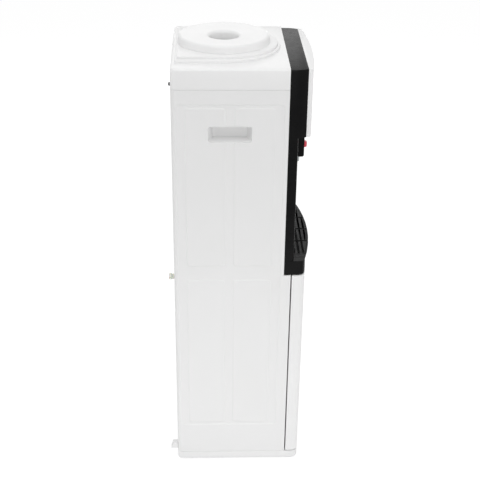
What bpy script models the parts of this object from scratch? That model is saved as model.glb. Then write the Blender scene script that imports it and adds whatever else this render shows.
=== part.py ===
"""Top load water cooler with a storage cabinet, every piece at its real size in metres.

The front faces -Y, +X is the viewer's right at the front, and the floor is Z = 0.
The origin is on the floor, under the middle of the whole object.
"""

import math

import bmesh
import bpy
from mathutils import Matrix, Vector

# Overall sizes
WIDTH = 0.312
CABINET_DEPTH = 0.288
TRAY_PROUD = 0.008
REAR_STANDOFF = 0.016
FOOT_HEIGHT = 0.002
PLINTH_HEIGHT = 0.0215
CABINET_HEIGHT = 0.4725
HOUSING_HEIGHT = 0.033
ALCOVE_HEIGHT = 0.278
HEAD_HEIGHT = 0.144
SKIRT_HEIGHT = 0.042
FRONT_DEPTH = 0.054
BAND_DEPTH = 0.0356
JAMB_DEPTH = 0.020
FRONT_BOW = 0.0105
FRONT_CORNER = 0.014
REAR_CORNER = 0.008

# Colours of the marked pieces
HEATING_RED = (0.55, 0.03, 0.03)
COOLING_GREEN = (0.03, 0.35, 0.12)

# Clearances and shared details
SEAM = 0.0003
SLIDE_FIT = 0.0006
DOOR_GAP = 0.0022
DOOR_END_GAP = 0.0012
OVERRUN = 0.012
EMBED = 0.001
FINE_RADIUS = 0.0005
WELD = 0.000002
CORNER_STEPS = 3
EDGE_STEPS = 2
BOW_STEPS = 8
SMOOTH_ANGLE = math.radians(32)
FULL_TURN = 2 * math.pi

# Side panels: sheet, pressed channels and hand grips
PANEL_WALL = 0.0025
PANEL_EDGE = 0.0012
FRONT_RETURN = 0.013
REAR_RETURN = 0.022
CHANNEL_DEPTH = 0.001
CHANNEL_SLOPE = 0.0026
CHANNEL_WIDTH = 0.0165
CHANNEL_MIDDLE = 0.032
CHANNEL_END = 0.0045
CHANNEL_CORNER = 0.007
FRAME_MARGIN = 0.010
FRAME_LOW = 0.0805
FRAME_TOP_MARGIN = 0.032
FRAME_MIDDLE_DROP = 0.006
GRIP_WIDTH = 0.088
GRIP_HEIGHT = 0.033
GRIP_DROP = 0.0925
GRIP_DEPTH = 0.020
GRIP_CORNER = 0.004
GRIP_SIDE_DRAFT = 0.009
GRIP_END_DRAFT = 0.004
GRIP_FLANGE = 0.008
GRIP_WALL = 0.002

# Base and feet
BASE_FILLET = 0.0055
BASE_POCKET = 0.012
BASE_RIB = 0.008
BASE_EDGE = 0.050
BASE_POCKET_CORNER = 0.010
FOOT_RADIUS = 0.015
FOOT_INSET = 0.030
FOOT_EDGE = 0.0007
FOOT_STEM_RADIUS = 0.004
FOOT_STEM = 0.010
ROUND_STEPS = 16
SMALL_STEPS = 12

# Top cover and its two raised steps
COVER_WALL = 0.003
COVER_FILLET = 0.007
STEP_RISE = 0.0055
STEP_SOFT = 0.0024
OUTER_STEP_MARGIN = 0.036
OUTER_STEP_NOSE = 0.0112
INNER_STEP_MARGIN = 0.0105
INNER_STEP_NOSE = 0.0158
STEP_ARC_STEPS = 20
STEP_SETBACK = 0.0012
SCREW_HEAD = 0.0036
SCREW_PROUD = 0.004
SCREW_SHANK = 0.0018
SCREW_EDGE = 0.0010
SCREW_INSET = 0.023
SCREW_RISE = 0.0048

# Bottle seat and probe, turned about one upright axis
SEAT_REAR_EDGE = 0.011
SEAT_LEAN = 0.005
SEAT_RISE = 0.0157
SEAT_DISH = 0.0035
SEAT_WALL = 0.003
SEAT_SHOULDER = 0.006
THROAT_RADIUS = 0.029
THROAT_LIP = 0.010
THROAT_DEPTH = 0.062
SEAT_STEPS = 30
PROBE_RADIUS = 0.012
PROBE_BORE = 0.008
PROBE_FLANGE = 0.019
PROBE_RISE = 0.032
PROBE_DROP = 0.016
PROBE_WINDOW = 0.0035
PROBE_WINDOW_DROP = 0.012
COLLAR_WALL = 0.0025
COLLAR_DROP = 0.020

# Cold tank, its jacket and its cooling unit
COOLING_ROOM = 0.0505
TANK_FRONT_ROOM = 0.0303
TANK_WALL = 0.002
TANK_HEIGHT = 0.150
TANK_FLANGE = 0.007
TANK_DOME = 0.010
TANK_STEPS = 16
LID_THICK = 0.003
LID_GAP_BELOW_SEAT = 0.004
JACKET_WALL = 0.0145
JACKET_FLOOR = 0.022
SHELF_SHEET = 0.0012
SHELF_FLANGE = 0.012
SHELF_FRONT = 0.020
SPIGOT_RADIUS = 0.004
SPIGOT_SHARE = 0.464
COLD_BLOCK_HALF = 0.020
COLD_BLOCK_DEPTH = 0.017
COLD_BLOCK_HEIGHT = 0.040
COLD_BLOCK_RISE = 0.075
PELTIER_THICK = 0.0038
SINK_HALF = 0.045
SINK_HEIGHT = 0.090
SINK_BASE = 0.0035
SINK_FIN = 0.0012
SINK_FINS = 11
FAN_THICK = 0.009
FAN_HALF = 0.040
FAN_SWEEP = 0.036
FAN_HUB = 0.013
FAN_BLADES = 7
FAN_BLADE_THICK = 0.0012
FAN_TIP_GAP = 0.0015
FAN_CORNER = 0.005
FAN_SPOKE = 0.003
FAN_AXLE = 0.002

# Hot tank
HOT_REAR_ROOM = 0.021
HOT_FRONT_ROOM = 0.0238
HOT_HEIGHT = 0.118
HOT_LEG = 0.018
HOT_DOME = 0.014
HOT_SKIRT_INSET = 0.016
BAND_WALL = 0.0032
BAND_HEIGHT = 0.036
BAND_RISE = 0.030
HOT_JACKET_WALL = 0.0155
HEATER_ROOM = 0.0085
HOT_JACKET_HEIGHT = 0.146
JACKET_NOTCH = 0.016
TUBE_RADIUS = 0.0045
TUBE_STEPS = 9

# Back panel and its fittings
BACK_SHEET = 0.0012
VENT_LENGTH = 0.070
VENT_HEIGHT = 0.0036
VENT_PITCH = 0.011
VENT_ROWS = 9
LOWER_VENT_ROWS = 4
LOWER_VENT_RISE = 0.060
DRAIN_INSET = 0.036
DRAIN_DROP = 0.0205
DRAIN_FLANGE = 0.0095
DRAIN_RADIUS = 0.0062
DRAIN_BORE = 0.0034
DRAIN_BARB = 0.010
DRAIN_NECK = 0.0062
CAP_RADIUS = 0.0070
CAP_LENGTH = 0.0058
CAP_STEM = 0.008
CAP_RIM = 0.0010
SWITCH_INSET = 0.058
SWITCH_RISE = 0.114
SWITCH_PITCH = 0.024
ROCKER_WIDTH = 0.012
ROCKER_HEIGHT = 0.020
ROCKER_DEPTH = 0.0085
ROCKER_PROUD = 0.0030
ROCKER_HOLLOW = 0.0020
ROCKER_REST = math.radians(7)
ROCKER_TRAVEL_ROOM = 0.0012
BEZEL_LIP = 0.0035
BEZEL_FACE = 0.0015
BEZEL_DEPTH = 0.010
BEZEL_WALL = 0.0015
GLAND_INSET = 0.051
GLAND_RISE = 0.0515
GLAND_RADIUS = 0.0075
GLAND_FLANGE = 0.011
GLAND_BORE = 0.0042
GLAND_LENGTH = 0.009
SPACER_WIDTH = 0.012
SPACER_HEIGHT = 0.016
SPACER_RISE = 0.004
SPACER_TOP_SHARE = 0.72
SPACER_EDGE = 0.0008

# Black front frame: band, jambs and tray housing
FRAME_INSET = 0.003
BAND_DROP = 0.0032
BAND_TAPER = 0.0080
BAND_ROUND = 0.0035
BAND_SHELL = 0.003
TAPER_STEPS = 5
JAMB_ROUND = 0.003
JAMB_LIP = 0.0004
HOUSING_FLOOR = 0.004
HOUSING_EDGE = 0.001
FRAME_LEDGE = 0.002

# Alcove liner
LINER_WALL = 0.0025
ALCOVE_DEPTH = 0.0387
ALCOVE_CORNER = 0.010
LINER_FLANGE = 0.013
LINER_TOP_FLANGE = 0.020

# Head cover and indicator strip
HEAD_COVER_MARGIN = 0.0113
HEAD_COVER_WALL = 0.0025
HEAD_COVER_ROUND = 0.0035
HEAD_COVER_EDGE = 0.002
LAMP_PITCH = 0.014
LAMP_RADIUS = 0.0026
LAMP_DROP = 0.046
LAMP_BAR = 0.0055
LAMP_BAR_THICK = 0.0020
LAMPS = 3

# Taps
TAP_INSET = 0.091
TAP_DROP = 0.022
SHANK_RADIUS = 0.0080
SHANK_TAIL = 0.010
ESCUTCHEON = 0.0115
ESCUTCHEON_THICK = 0.004
VALVE_REACH = 0.0615
VALVE_RADIUS = 0.0095
VALVE_LOW = 0.015
VALVE_TOP_GAP = 0.0022
NOZZLE_RADIUS = 0.0080
NOZZLE_TIP = 0.0055
NOZZLE_LENGTH = 0.0467
NOZZLE_TAPER = 0.012
NOZZLE_BORE = 0.0040
LEVER_WIDTH = 0.026
LEVER_WALL = 0.0022
LEVER_REACH = 0.0170
LEVER_DEPTH = 0.0130
LEVER_LENGTH = 0.060
LEVER_HEADROOM = 0.0066
LEVER_ROUND = 0.0035
PIVOT_DROP = 0.010
PIVOT_RADIUS = 0.0022
PIVOT_BOSS = 0.0045
BUTTON_WIDTH = 0.012
BUTTON_HEIGHT = 0.0122
BUTTON_PROUD = 0.0042
BUTTON_DROP = 0.0355
BUTTON_FLANGE = 0.0015
BUTTON_FLANGE_THICK = 0.0008
BUTTON_EDGE = 0.0012

# Drip tray and grille
TRAY_MARGIN = 0.021
TRAY_BOW = 0.016
TRAY_BACK = 0.082
TRAY_WALL = 0.0024
TRAY_LIP = 0.0035
TRAY_END_LIP = 0.0125
TRAY_CORNER = 0.010
TRAY_DRAFT = 0.003
GRILLE_THICK = 0.0032
GRILLE_LEDGE = 0.0022
GRILLE_FIT = 0.0005
GRILLE_RIM = 0.0042
SLOT_WIDTH = 0.0040
BAR_WIDTH = 0.0046
GRILLE_CELLS = 4
CROSS_RIB = 0.0034
CROSS_GROOVE = 0.0018
SLOT_SHORTEST = 0.008

# Door, hinge and catch
DOOR_WALL = 0.0028
DOOR_BACK_SHEET = 0.0025
DOOR_BARREL = 0.012
DOOR_EDGE = 0.0012
PANEL_BEAD = 0.0010
PANEL_BEAD_INSET = 0.018
PIN_RADIUS = 0.003
PIN_LENGTH = 0.018
PIN_FIT = 0.0003
PINTLE_RADIUS = 0.004
PINTLE_HEIGHT = 0.009
CATCH_WIDTH = 0.030
CATCH_HEIGHT = 0.010
CATCH_DEPTH = 0.014
CATCH_INSET = 0.051
CATCH_PLATE = 0.0012
CATCH_MARGIN = 0.002

# Cabinet liner and deck
CABINET_LINER_WALL = 0.002
CABINET_LINER_BACK = 0.0401
CABINET_LINER_RISE = 0.006
CABINET_LINER_SIDE = 0.0175
CABINET_LINER_CORNER = 0.012
DECK_SHEET = 0.0015
DECK_FLANGE = 0.010
DECK_BACK = 0.036
DECK_EDGE = 0.002

# Places that follow from the sizes above
HALF_WIDTH = WIDTH / 2
SIDE_DEPTH = CABINET_DEPTH - FRONT_DEPTH
TOTAL_DEPTH = CABINET_DEPTH + TRAY_PROUD + REAR_STANDOFF
Y_REAR = TOTAL_DEPTH / 2
Y_BACK = Y_REAR - REAR_STANDOFF
Y_CREST = Y_BACK - CABINET_DEPTH
Y_TRAY = Y_CREST - TRAY_PROUD
Y_SIDE = Y_BACK - SIDE_DEPTH
Y_BAND = Y_SIDE - BAND_DEPTH
Y_JAMB = Y_SIDE - JAMB_DEPTH
Z_BASE = FOOT_HEIGHT
Z_PLINTH = Z_BASE + PLINTH_HEIGHT
Z_HOUSING = Z_PLINTH + CABINET_HEIGHT
Z_RIM = Z_HOUSING + HOUSING_HEIGHT
Z_HEAD = Z_RIM + ALCOVE_HEIGHT
Z_TOP = Z_HEAD + HEAD_HEIGHT
Z_SKIRT = Z_TOP - SKIRT_HEIGHT
Z_SEAT = Z_TOP + 2 * STEP_RISE
Z_BAND_TOP = Z_TOP - BAND_DROP
Z_DOOR_LOW = Z_PLINTH + DOOR_END_GAP
Z_DOOR_TOP = Z_HOUSING - DOOR_END_GAP
TANK_ROOM = SIDE_DEPTH - ALCOVE_DEPTH - LINER_WALL
TANK_RADIUS = (TANK_ROOM - COOLING_ROOM - TANK_FRONT_ROOM) / 2
SPIGOT_SPREAD = TANK_RADIUS * SPIGOT_SHARE
SEAT_BACK = COOLING_ROOM + TANK_RADIUS
SEAT_Y = Y_BACK - SEAT_BACK
SEAT_RADIUS = SEAT_BACK - SEAT_REAR_EDGE
SEAT_CREST_RADIUS = SEAT_RADIUS - SEAT_LEAN
HOT_JACKET_OUTER = (TANK_ROOM - HOT_REAR_ROOM - HOT_FRONT_ROOM) / 2
HOT_JACKET_INNER = HOT_JACKET_OUTER - HOT_JACKET_WALL
HOT_BACK = HOT_REAR_ROOM + HOT_JACKET_OUTER
HOT_RADIUS = HOT_JACKET_INNER - HEATER_ROOM
HOT_SKIRT = HOT_RADIUS - HOT_SKIRT_INSET
FRAME_HALF = HALF_WIDTH - FRAME_INSET
FRAME_WIDTH = SIDE_DEPTH - 2 * FRAME_MARGIN
OUTER_STEP_HALF = HALF_WIDTH - OUTER_STEP_MARGIN
INNER_STEP_HALF = OUTER_STEP_HALF - INNER_STEP_MARGIN
SCREW_SPREAD = HALF_WIDTH - SCREW_INSET
HEAD_COVER_HALF = HALF_WIDTH - HEAD_COVER_MARGIN
TRAY_HALF = HALF_WIDTH - TRAY_MARGIN
TAP_SPREAD = HALF_WIDTH - TAP_INSET
DRAIN_SPREAD = HALF_WIDTH - DRAIN_INSET
DRAIN_HEIGHT = Z_HOUSING - DRAIN_DROP
SWITCH_SPREAD = HALF_WIDTH - SWITCH_INSET
SWITCH_HEIGHT = Z_HOUSING + SWITCH_RISE
GLAND_SPREAD = HALF_WIDTH - GLAND_INSET
GLAND_HEIGHT = Z_PLINTH + GLAND_RISE
CATCH_SPREAD = HALF_WIDTH - CATCH_INSET
ALCOVE_HALF = TRAY_HALF + SLIDE_FIT
Y_ALCOVE = Y_SIDE + SEAM
Y_BACK_SHEET = Y_BACK - PANEL_WALL - SEAM
TAP_Z = Z_HEAD - TAP_DROP


def material(name, colour, roughness, metallic=0.0, alpha=1.0):
    """Return a Principled material made once under its name."""
    made = bpy.data.materials.get(name)
    if made:
        return made
    made = bpy.data.materials.new(name)
    made.use_nodes = True
    shader = made.node_tree.nodes["Principled BSDF"]
    shader.inputs["Base Color"].default_value = (*colour, 1.0)
    shader.inputs["Roughness"].default_value = roughness
    shader.inputs["Metallic"].default_value = metallic
    shader.inputs["Alpha"].default_value = alpha
    return made


def white_plastic():
    return material("white_plastic", (0.80, 0.80, 0.80), 0.32)


def white_steel():
    return material("white_steel", (0.78, 0.78, 0.78), 0.38)


def black_plastic():
    return material("black_plastic", (0.012, 0.012, 0.013), 0.30)


def grey_plastic():
    return material("grey_plastic", (0.42, 0.43, 0.44), 0.5)


def steel():
    return material("steel", (0.62, 0.62, 0.63), 0.28, 1.0)


def foam():
    return material("foam", (0.86, 0.86, 0.84), 0.9)


def silicone():
    return material("silicone", (0.74, 0.75, 0.62), 0.45, 0.0, 0.8)


def bow_y(x, crest, sagitta, half):
    """Return the Y of a bowed front, an arc that falls back by the sagitta at x = half."""
    radius = (half * half + sagitta * sagitta) / (2 * sagitta)
    return crest + radius - math.sqrt(radius * radius - x * x)


def bow_half_width(y, crest, sagitta, half):
    """Return how far the bowed front reaches to either side at this Y."""
    radius = (half * half + sagitta * sagitta) / (2 * sagitta)
    rise = radius - max(y - crest, 0)
    return min(math.sqrt(max(radius * radius - rise * rise, 0)), half)


def fillet_centre(before, corner, after, radius):
    """Return the centre of the circle that rounds a corner between two neighbours."""
    to_before = (Vector(before) - Vector(corner)).normalized()
    to_after = (Vector(after) - Vector(corner)).normalized()
    half_angle = to_before.angle(to_after) / 2
    return Vector(corner) + (to_before + to_after).normalized() * (radius / math.sin(half_angle))


def rounded_outline(corners, steps=CORNER_STEPS):
    """Return the points of a closed outline of (a, b, radius) corners, each one filleted."""
    points = []
    count = len(corners)
    for index, (a, b, radius) in enumerate(corners):
        if radius <= 0:
            points.append((a, b))
            continue
        before = Vector(corners[index - 1][:2])
        after = Vector(corners[(index + 1) % count][:2])
        centre = fillet_centre(before, (a, b), after, radius)
        corner = Vector((a, b))
        to_before = (before - corner).normalized()
        to_after = (after - corner).normalized()
        start = corner + to_before * (centre - corner).dot(to_before) - centre
        end = corner + to_after * (centre - corner).dot(to_after) - centre
        first = math.atan2(start.y, start.x)
        sweep = math.atan2(start.x * end.y - start.y * end.x, start.dot(end))
        for step in range(steps + 1):
            angle = first + sweep * step / steps
            points.append((centre.x + radius * math.cos(angle), centre.y + radius * math.sin(angle)))
    return points


def rectangle(low_a, high_a, low_b, high_b, radius=0.0, steps=EDGE_STEPS):
    """Return a rectangle's outline with equal corner fillets."""
    corners = [(low_a, low_b), (high_a, low_b), (high_a, high_b), (low_a, high_b)]
    return rounded_outline([(a, b, radius) for a, b in corners], steps)


def circle(centre_a, centre_b, radius, steps=ROUND_STEPS):
    """Return the points of a circle."""
    angles = [FULL_TURN * step / steps for step in range(steps)]
    return [(centre_a + radius * math.cos(a), centre_b + radius * math.sin(a)) for a in angles]


def bowed_outline(half, rear, crest, sagitta, front_radius, rear_radius=0.0, inset=0.0, rear_inset=0.0):
    """Return a plan outline with a straight back, straight sides and a bowed front."""
    side = half - inset
    back = rear - rear_inset
    back_round = max(rear_radius - inset, FINE_RADIUS) if rear_radius else 0.0
    front_round = max(front_radius - inset, FINE_RADIUS)
    corners = [(side, back, back_round), (-side, back, back_round)]
    for step in range(BOW_STEPS + 1):
        x = side * (2 * step / BOW_STEPS - 1)
        at_end = step in (0, BOW_STEPS)
        corners.append((x, bow_y(x, crest, sagitta, half) + inset, front_round if at_end else 0.0))
    return rounded_outline(corners)


def at_x(outline, x):
    return [Vector((x, a, b)) for a, b in outline]


def at_y(outline, y):
    return [Vector((a, y, b)) for a, b in outline]


def at_z(outline, z):
    return [Vector((a, b, z)) for a, b in outline]


def smooth(data):
    """Shade a mesh round, with every sharp edge kept crisp."""
    data.shade_smooth()
    data.set_sharp_from_angle(angle=SMOOTH_ANGLE)


def finish(name, mesh, look):
    """Turn a closed bmesh into a smooth shaded object with its material."""
    bmesh.ops.remove_doubles(mesh, verts=mesh.verts, dist=WELD)
    bmesh.ops.recalc_face_normals(mesh, faces=mesh.faces)
    data = bpy.data.meshes.new(name)
    mesh.to_mesh(data)
    mesh.free()
    smooth(data)
    if look:
        data.materials.append(look)
    piece = bpy.data.objects.new(name, data)
    bpy.context.scene.collection.objects.link(piece)
    return piece


def skin(mesh, rings):
    """Skin rings of equal point counts in a bmesh and cap both ends."""
    layers = [[mesh.verts.new(point) for point in ring] for ring in rings]
    count = len(rings[0])
    for lower, upper in zip(layers, layers[1:]):
        for index in range(count):
            following = (index + 1) % count
            mesh.faces.new((lower[index], lower[following], upper[following], upper[index]))
    mesh.faces.new(layers[0][::-1])
    mesh.faces.new(layers[-1])


def loft(name, rings, look=None):
    """Return a closed solid skinned over rings."""
    mesh = bmesh.new()
    skin(mesh, rings)
    return finish(name, mesh, look)


def lofts(name, ring_sets, look=None):
    """Return one object that holds several closed lofts, for use as a cutter."""
    mesh = bmesh.new()
    for rings in ring_sets:
        skin(mesh, rings)
    return finish(name, mesh, look)


def turn(name, profile, centre, look=None, axis="Z", steps=ROUND_STEPS):
    """Revolve a closed (radius, height) profile about an axis through a centre."""
    turns = {
        "Z": Matrix(),
        "Y": Matrix.Rotation(-math.pi / 2, 4, "X"),
        "X": Matrix.Rotation(math.pi / 2, 4, "Y"),
    }
    place = Matrix.Translation(Vector(centre)) @ turns[axis]
    mesh = bmesh.new()
    rows = []
    for radius, height in profile:
        if radius == 0:
            rows.append([mesh.verts.new(place @ Vector((0, 0, height)))] * steps)
            continue
        ring = [(radius * math.cos(FULL_TURN * k / steps), radius * math.sin(FULL_TURN * k / steps))
                for k in range(steps)]
        rows.append([mesh.verts.new(place @ Vector((a, b, height))) for a, b in ring])
    for row, following in zip(rows, rows[1:] + rows[:1]):
        for k in range(steps):
            n = (k + 1) % steps
            face = list(dict.fromkeys((row[k], row[n], following[n], following[k])))
            if len(face) > 2:
                mesh.faces.new(face)
    return finish(name, mesh, look)


def combine(piece, tool, operation):
    """Apply an exact Boolean of a tool to a piece, weld the result and drop the tool."""
    modifier = piece.modifiers.new(tool.name, "BOOLEAN")
    modifier.operation = operation
    modifier.solver = "EXACT"
    modifier.object = tool
    graph = bpy.context.evaluated_depsgraph_get()
    result = bpy.data.meshes.new_from_object(piece.evaluated_get(graph))
    piece.modifiers.clear()
    before = piece.data
    mesh = bmesh.new()
    mesh.from_mesh(result)
    bmesh.ops.remove_doubles(mesh, verts=mesh.verts, dist=WELD)
    bmesh.ops.dissolve_degenerate(mesh, edges=mesh.edges, dist=WELD)
    mesh.to_mesh(result)
    mesh.free()
    smooth(result)
    piece.data = result
    bpy.data.objects.remove(tool, do_unlink=True)
    bpy.data.meshes.remove(before)
    result.name = piece.name
    return piece


def subtract(piece, *tools):
    for tool in tools:
        combine(piece, tool, "DIFFERENCE")
    return piece


def unite(piece, *tools):
    for tool in tools:
        combine(piece, tool, "UNION")
    return piece


def hang_on_axis(name, point, *pieces, carrier=None):
    """Carry pieces on an empty at a joint's axis, with their origins there."""
    axis = bpy.data.objects.new(name, None)
    axis.location = point
    if carrier:
        axis.parent = carrier
        axis.location -= carrier.location
    bpy.context.scene.collection.objects.link(axis)
    for piece in pieces:
        piece.data.transform(Matrix.Translation(-Vector(point)))
        piece.parent = axis
    return axis


def smooth_path(points, steps):
    """Return points on a smooth curve through a route whose first and last spans stay straight."""
    route = [Vector(point) for point in points]
    spans = len(route) - 3
    path = [route[0]]
    for step in range(steps + 1):
        along = spans * step / steps
        span = min(int(along), spans - 1)
        t = along - span
        p0, p1, p2, p3 = route[span:span + 4]
        bend = 2 * p0 - 5 * p1 + 4 * p2 - p3
        twist = 3 * p1 - p0 - 3 * p2 + p3
        path.append((2 * p1 + (p2 - p0) * t + bend * t * t + twist * t * t * t) / 2)
    return path + [route[-1]]


def tube(name, points, radius, look):
    """Return a solid tube along a smooth route, as a curve with a round bevel."""
    curve = bpy.data.curves.new(name, "CURVE")
    curve.dimensions = "3D"
    curve.bevel_depth = radius
    curve.bevel_resolution = 2
    curve.use_fill_caps = True
    path = smooth_path(points, TUBE_STEPS)
    spline = curve.splines.new("POLY")
    spline.points.add(len(path) - 1)
    for point, place in zip(spline.points, path):
        point.co = (*place, 1.0)
    curve.materials.append(look)
    piece = bpy.data.objects.new(name, curve)
    bpy.context.scene.collection.objects.link(piece)
    return piece


def door_axis():
    """Return the plan place of the hinge axis, the centre of the door's front corner."""
    side = (HALF_WIDTH, Y_SIDE)
    corner = (HALF_WIDTH, bow_y(HALF_WIDTH, Y_CREST, FRONT_BOW, HALF_WIDTH))
    inner_x = HALF_WIDTH * (1 - 2 / BOW_STEPS)
    inner = (inner_x, bow_y(inner_x, Y_CREST, FRONT_BOW, HALF_WIDTH))
    return fillet_centre(side, corner, inner, FRONT_CORNER)


HINGE = door_axis()
Y_DOOR_BACK = HINGE.y + FRONT_CORNER
Y_PANEL = Y_DOOR_BACK + DOOR_GAP


def base():
    """The moulded plinth: filleted below, ribbed underneath, with the door's lower pintle."""
    rings = []
    for step in range(CORNER_STEPS + 1):
        angle = math.pi / 2 * step / CORNER_STEPS
        inset = BASE_FILLET * (1 - math.sin(angle))
        height = Z_BASE + BASE_FILLET * (1 - math.cos(angle))
        outline = bowed_outline(
            HALF_WIDTH, Y_BACK, Y_CREST, FRONT_BOW, FRONT_CORNER, REAR_CORNER, inset, inset
        )
        rings.append(at_z(outline, height))
    top = bowed_outline(HALF_WIDTH, Y_BACK, Y_CREST, FRONT_BOW, FRONT_CORNER, REAR_CORNER)
    rings.append(at_z(top, Z_PLINTH))
    piece = loft("base", rings, white_plastic())
    middle = (Y_BACK + Y_CREST) / 2
    reach = HALF_WIDTH - BASE_EDGE
    pockets = []
    for left in (True, False):
        for rear in (True, False):
            span_x = (-reach, -BASE_RIB / 2) if left else (BASE_RIB / 2, reach)
            span_y = (middle + BASE_RIB / 2, Y_BACK - BASE_EDGE) if rear else (
                Y_CREST + BASE_EDGE, middle - BASE_RIB / 2
            )
            outline = rectangle(*span_x, *span_y, BASE_POCKET_CORNER)
            pockets.append([at_z(outline, Z_BASE - OVERRUN), at_z(outline, Z_BASE + BASE_POCKET)])
    subtract(piece, lofts("cut_base_pockets", pockets))
    stems = []
    for x, y in foot_places():
        hole = circle(x, y, FOOT_STEM_RADIUS + SEAM, SMALL_STEPS)
        stems.append([at_z(hole, Z_BASE - OVERRUN), at_z(hole, Z_BASE + FOOT_STEM + SEAM)])
    subtract(piece, lofts("cut_foot_stems", stems))
    pintle = circle(HINGE.x, HINGE.y, PINTLE_RADIUS)
    unite(
        piece,
        loft("add_pintle", [at_z(pintle, Z_PLINTH - EMBED), at_z(pintle, Z_PLINTH + PINTLE_HEIGHT)]),
    )


def foot_places():
    """Return the plan places of the four feet."""
    reach = HALF_WIDTH - FOOT_INSET
    front = Y_CREST + FRONT_BOW + FOOT_INSET
    rear = Y_BACK - FOOT_INSET
    return [(-reach, front), (reach, front), (-reach, rear), (reach, rear)]


def feet():
    """Four rubber feet, each with a stem plugged into the base."""
    names = ("foot_front_left", "foot_front_right", "foot_rear_left", "foot_rear_right")
    top = FOOT_HEIGHT - SEAM
    profile = [
        (0, 0),
        (FOOT_RADIUS - FOOT_EDGE, 0),
        (FOOT_RADIUS, FOOT_EDGE),
        (FOOT_RADIUS, top),
        (FOOT_STEM_RADIUS, top),
        (FOOT_STEM_RADIUS, FOOT_HEIGHT + FOOT_STEM),
        (0, FOOT_HEIGHT + FOOT_STEM),
    ]
    rubber = material("rubber", (0.03, 0.03, 0.03), 0.8)
    for name, (x, y) in zip(names, foot_places()):
        turn(name, profile, (x, y, 0), rubber, steps=SMALL_STEPS)


def frame_fields():
    """Return the pressed frame and its four raised fields as (y, y, z, z) spans."""
    middle = (Y_BACK + Y_SIDE) / 2
    low_y = middle - FRAME_WIDTH / 2
    high_y = middle + FRAME_WIDTH / 2
    low_z = Z_PLINTH + FRAME_LOW
    high_z = Z_SKIRT - FRAME_TOP_MARGIN
    centre_z = Z_HOUSING + FRAME_MIDDLE_DROP
    columns = [
        (low_y + CHANNEL_WIDTH, middle - CHANNEL_WIDTH / 2),
        (middle + CHANNEL_WIDTH / 2, high_y - CHANNEL_WIDTH),
    ]
    rows = [
        (low_z + CHANNEL_END, centre_z - CHANNEL_MIDDLE / 2),
        (centre_z + CHANNEL_MIDDLE / 2, high_z - CHANNEL_END),
    ]
    fields = [(*column, *row) for column in columns for row in rows]
    return (low_y, high_y, low_z, high_z), fields


def grip_span():
    """Return the hand hole's span as (y, y, z, z)."""
    middle = (Y_BACK + Y_SIDE) / 2
    top = Z_SKIRT - GRIP_DROP + GRIP_HEIGHT / 2
    return middle - GRIP_WIDTH / 2, middle + GRIP_WIDTH / 2, top - GRIP_HEIGHT, top


def grown(span, amount):
    """Return a (low, high, low, high) span grown on all four sides."""
    return span[0] - amount, span[1] + amount, span[2] - amount, span[3] + amount


def cup_rings(mouth, mouth_corner, wall, corner, front, back, flange, flat_floor=False):
    """Return the rings of a flanged cup that opens to -Y and has rounded inner edges."""
    def outline(span, inset, radius):
        low_a, high_a, low_b, high_b = grown(span, -inset)
        low = span[2] if flat_floor else low_b
        return rectangle(low_a, high_a, low, high_b, max(radius - inset, FINE_RADIUS))

    outside = []
    inside = []
    for step in range(CORNER_STEPS + 1):
        angle = math.pi / 2 * (1 - step / CORNER_STEPS)
        across, along = 1 - math.cos(angle), 1 - math.sin(angle)
        thick = corner + wall
        outside.append(
            at_y(
                outline(grown(mouth, wall), thick * across, mouth_corner + wall),
                back + wall - thick * along,
            )
        )
        inside.append(at_y(outline(mouth, corner * across, mouth_corner), back - corner * along))
    outside.append(at_y(outline(grown(mouth, wall), 0.0, mouth_corner + wall), front + wall))
    inside.append(at_y(outline(mouth, 0.0, mouth_corner), front))
    rim = rectangle(*flange, FINE_RADIUS)
    return outside + [at_y(rim, front + wall), at_y(rim, front)] + inside[::-1]


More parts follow.
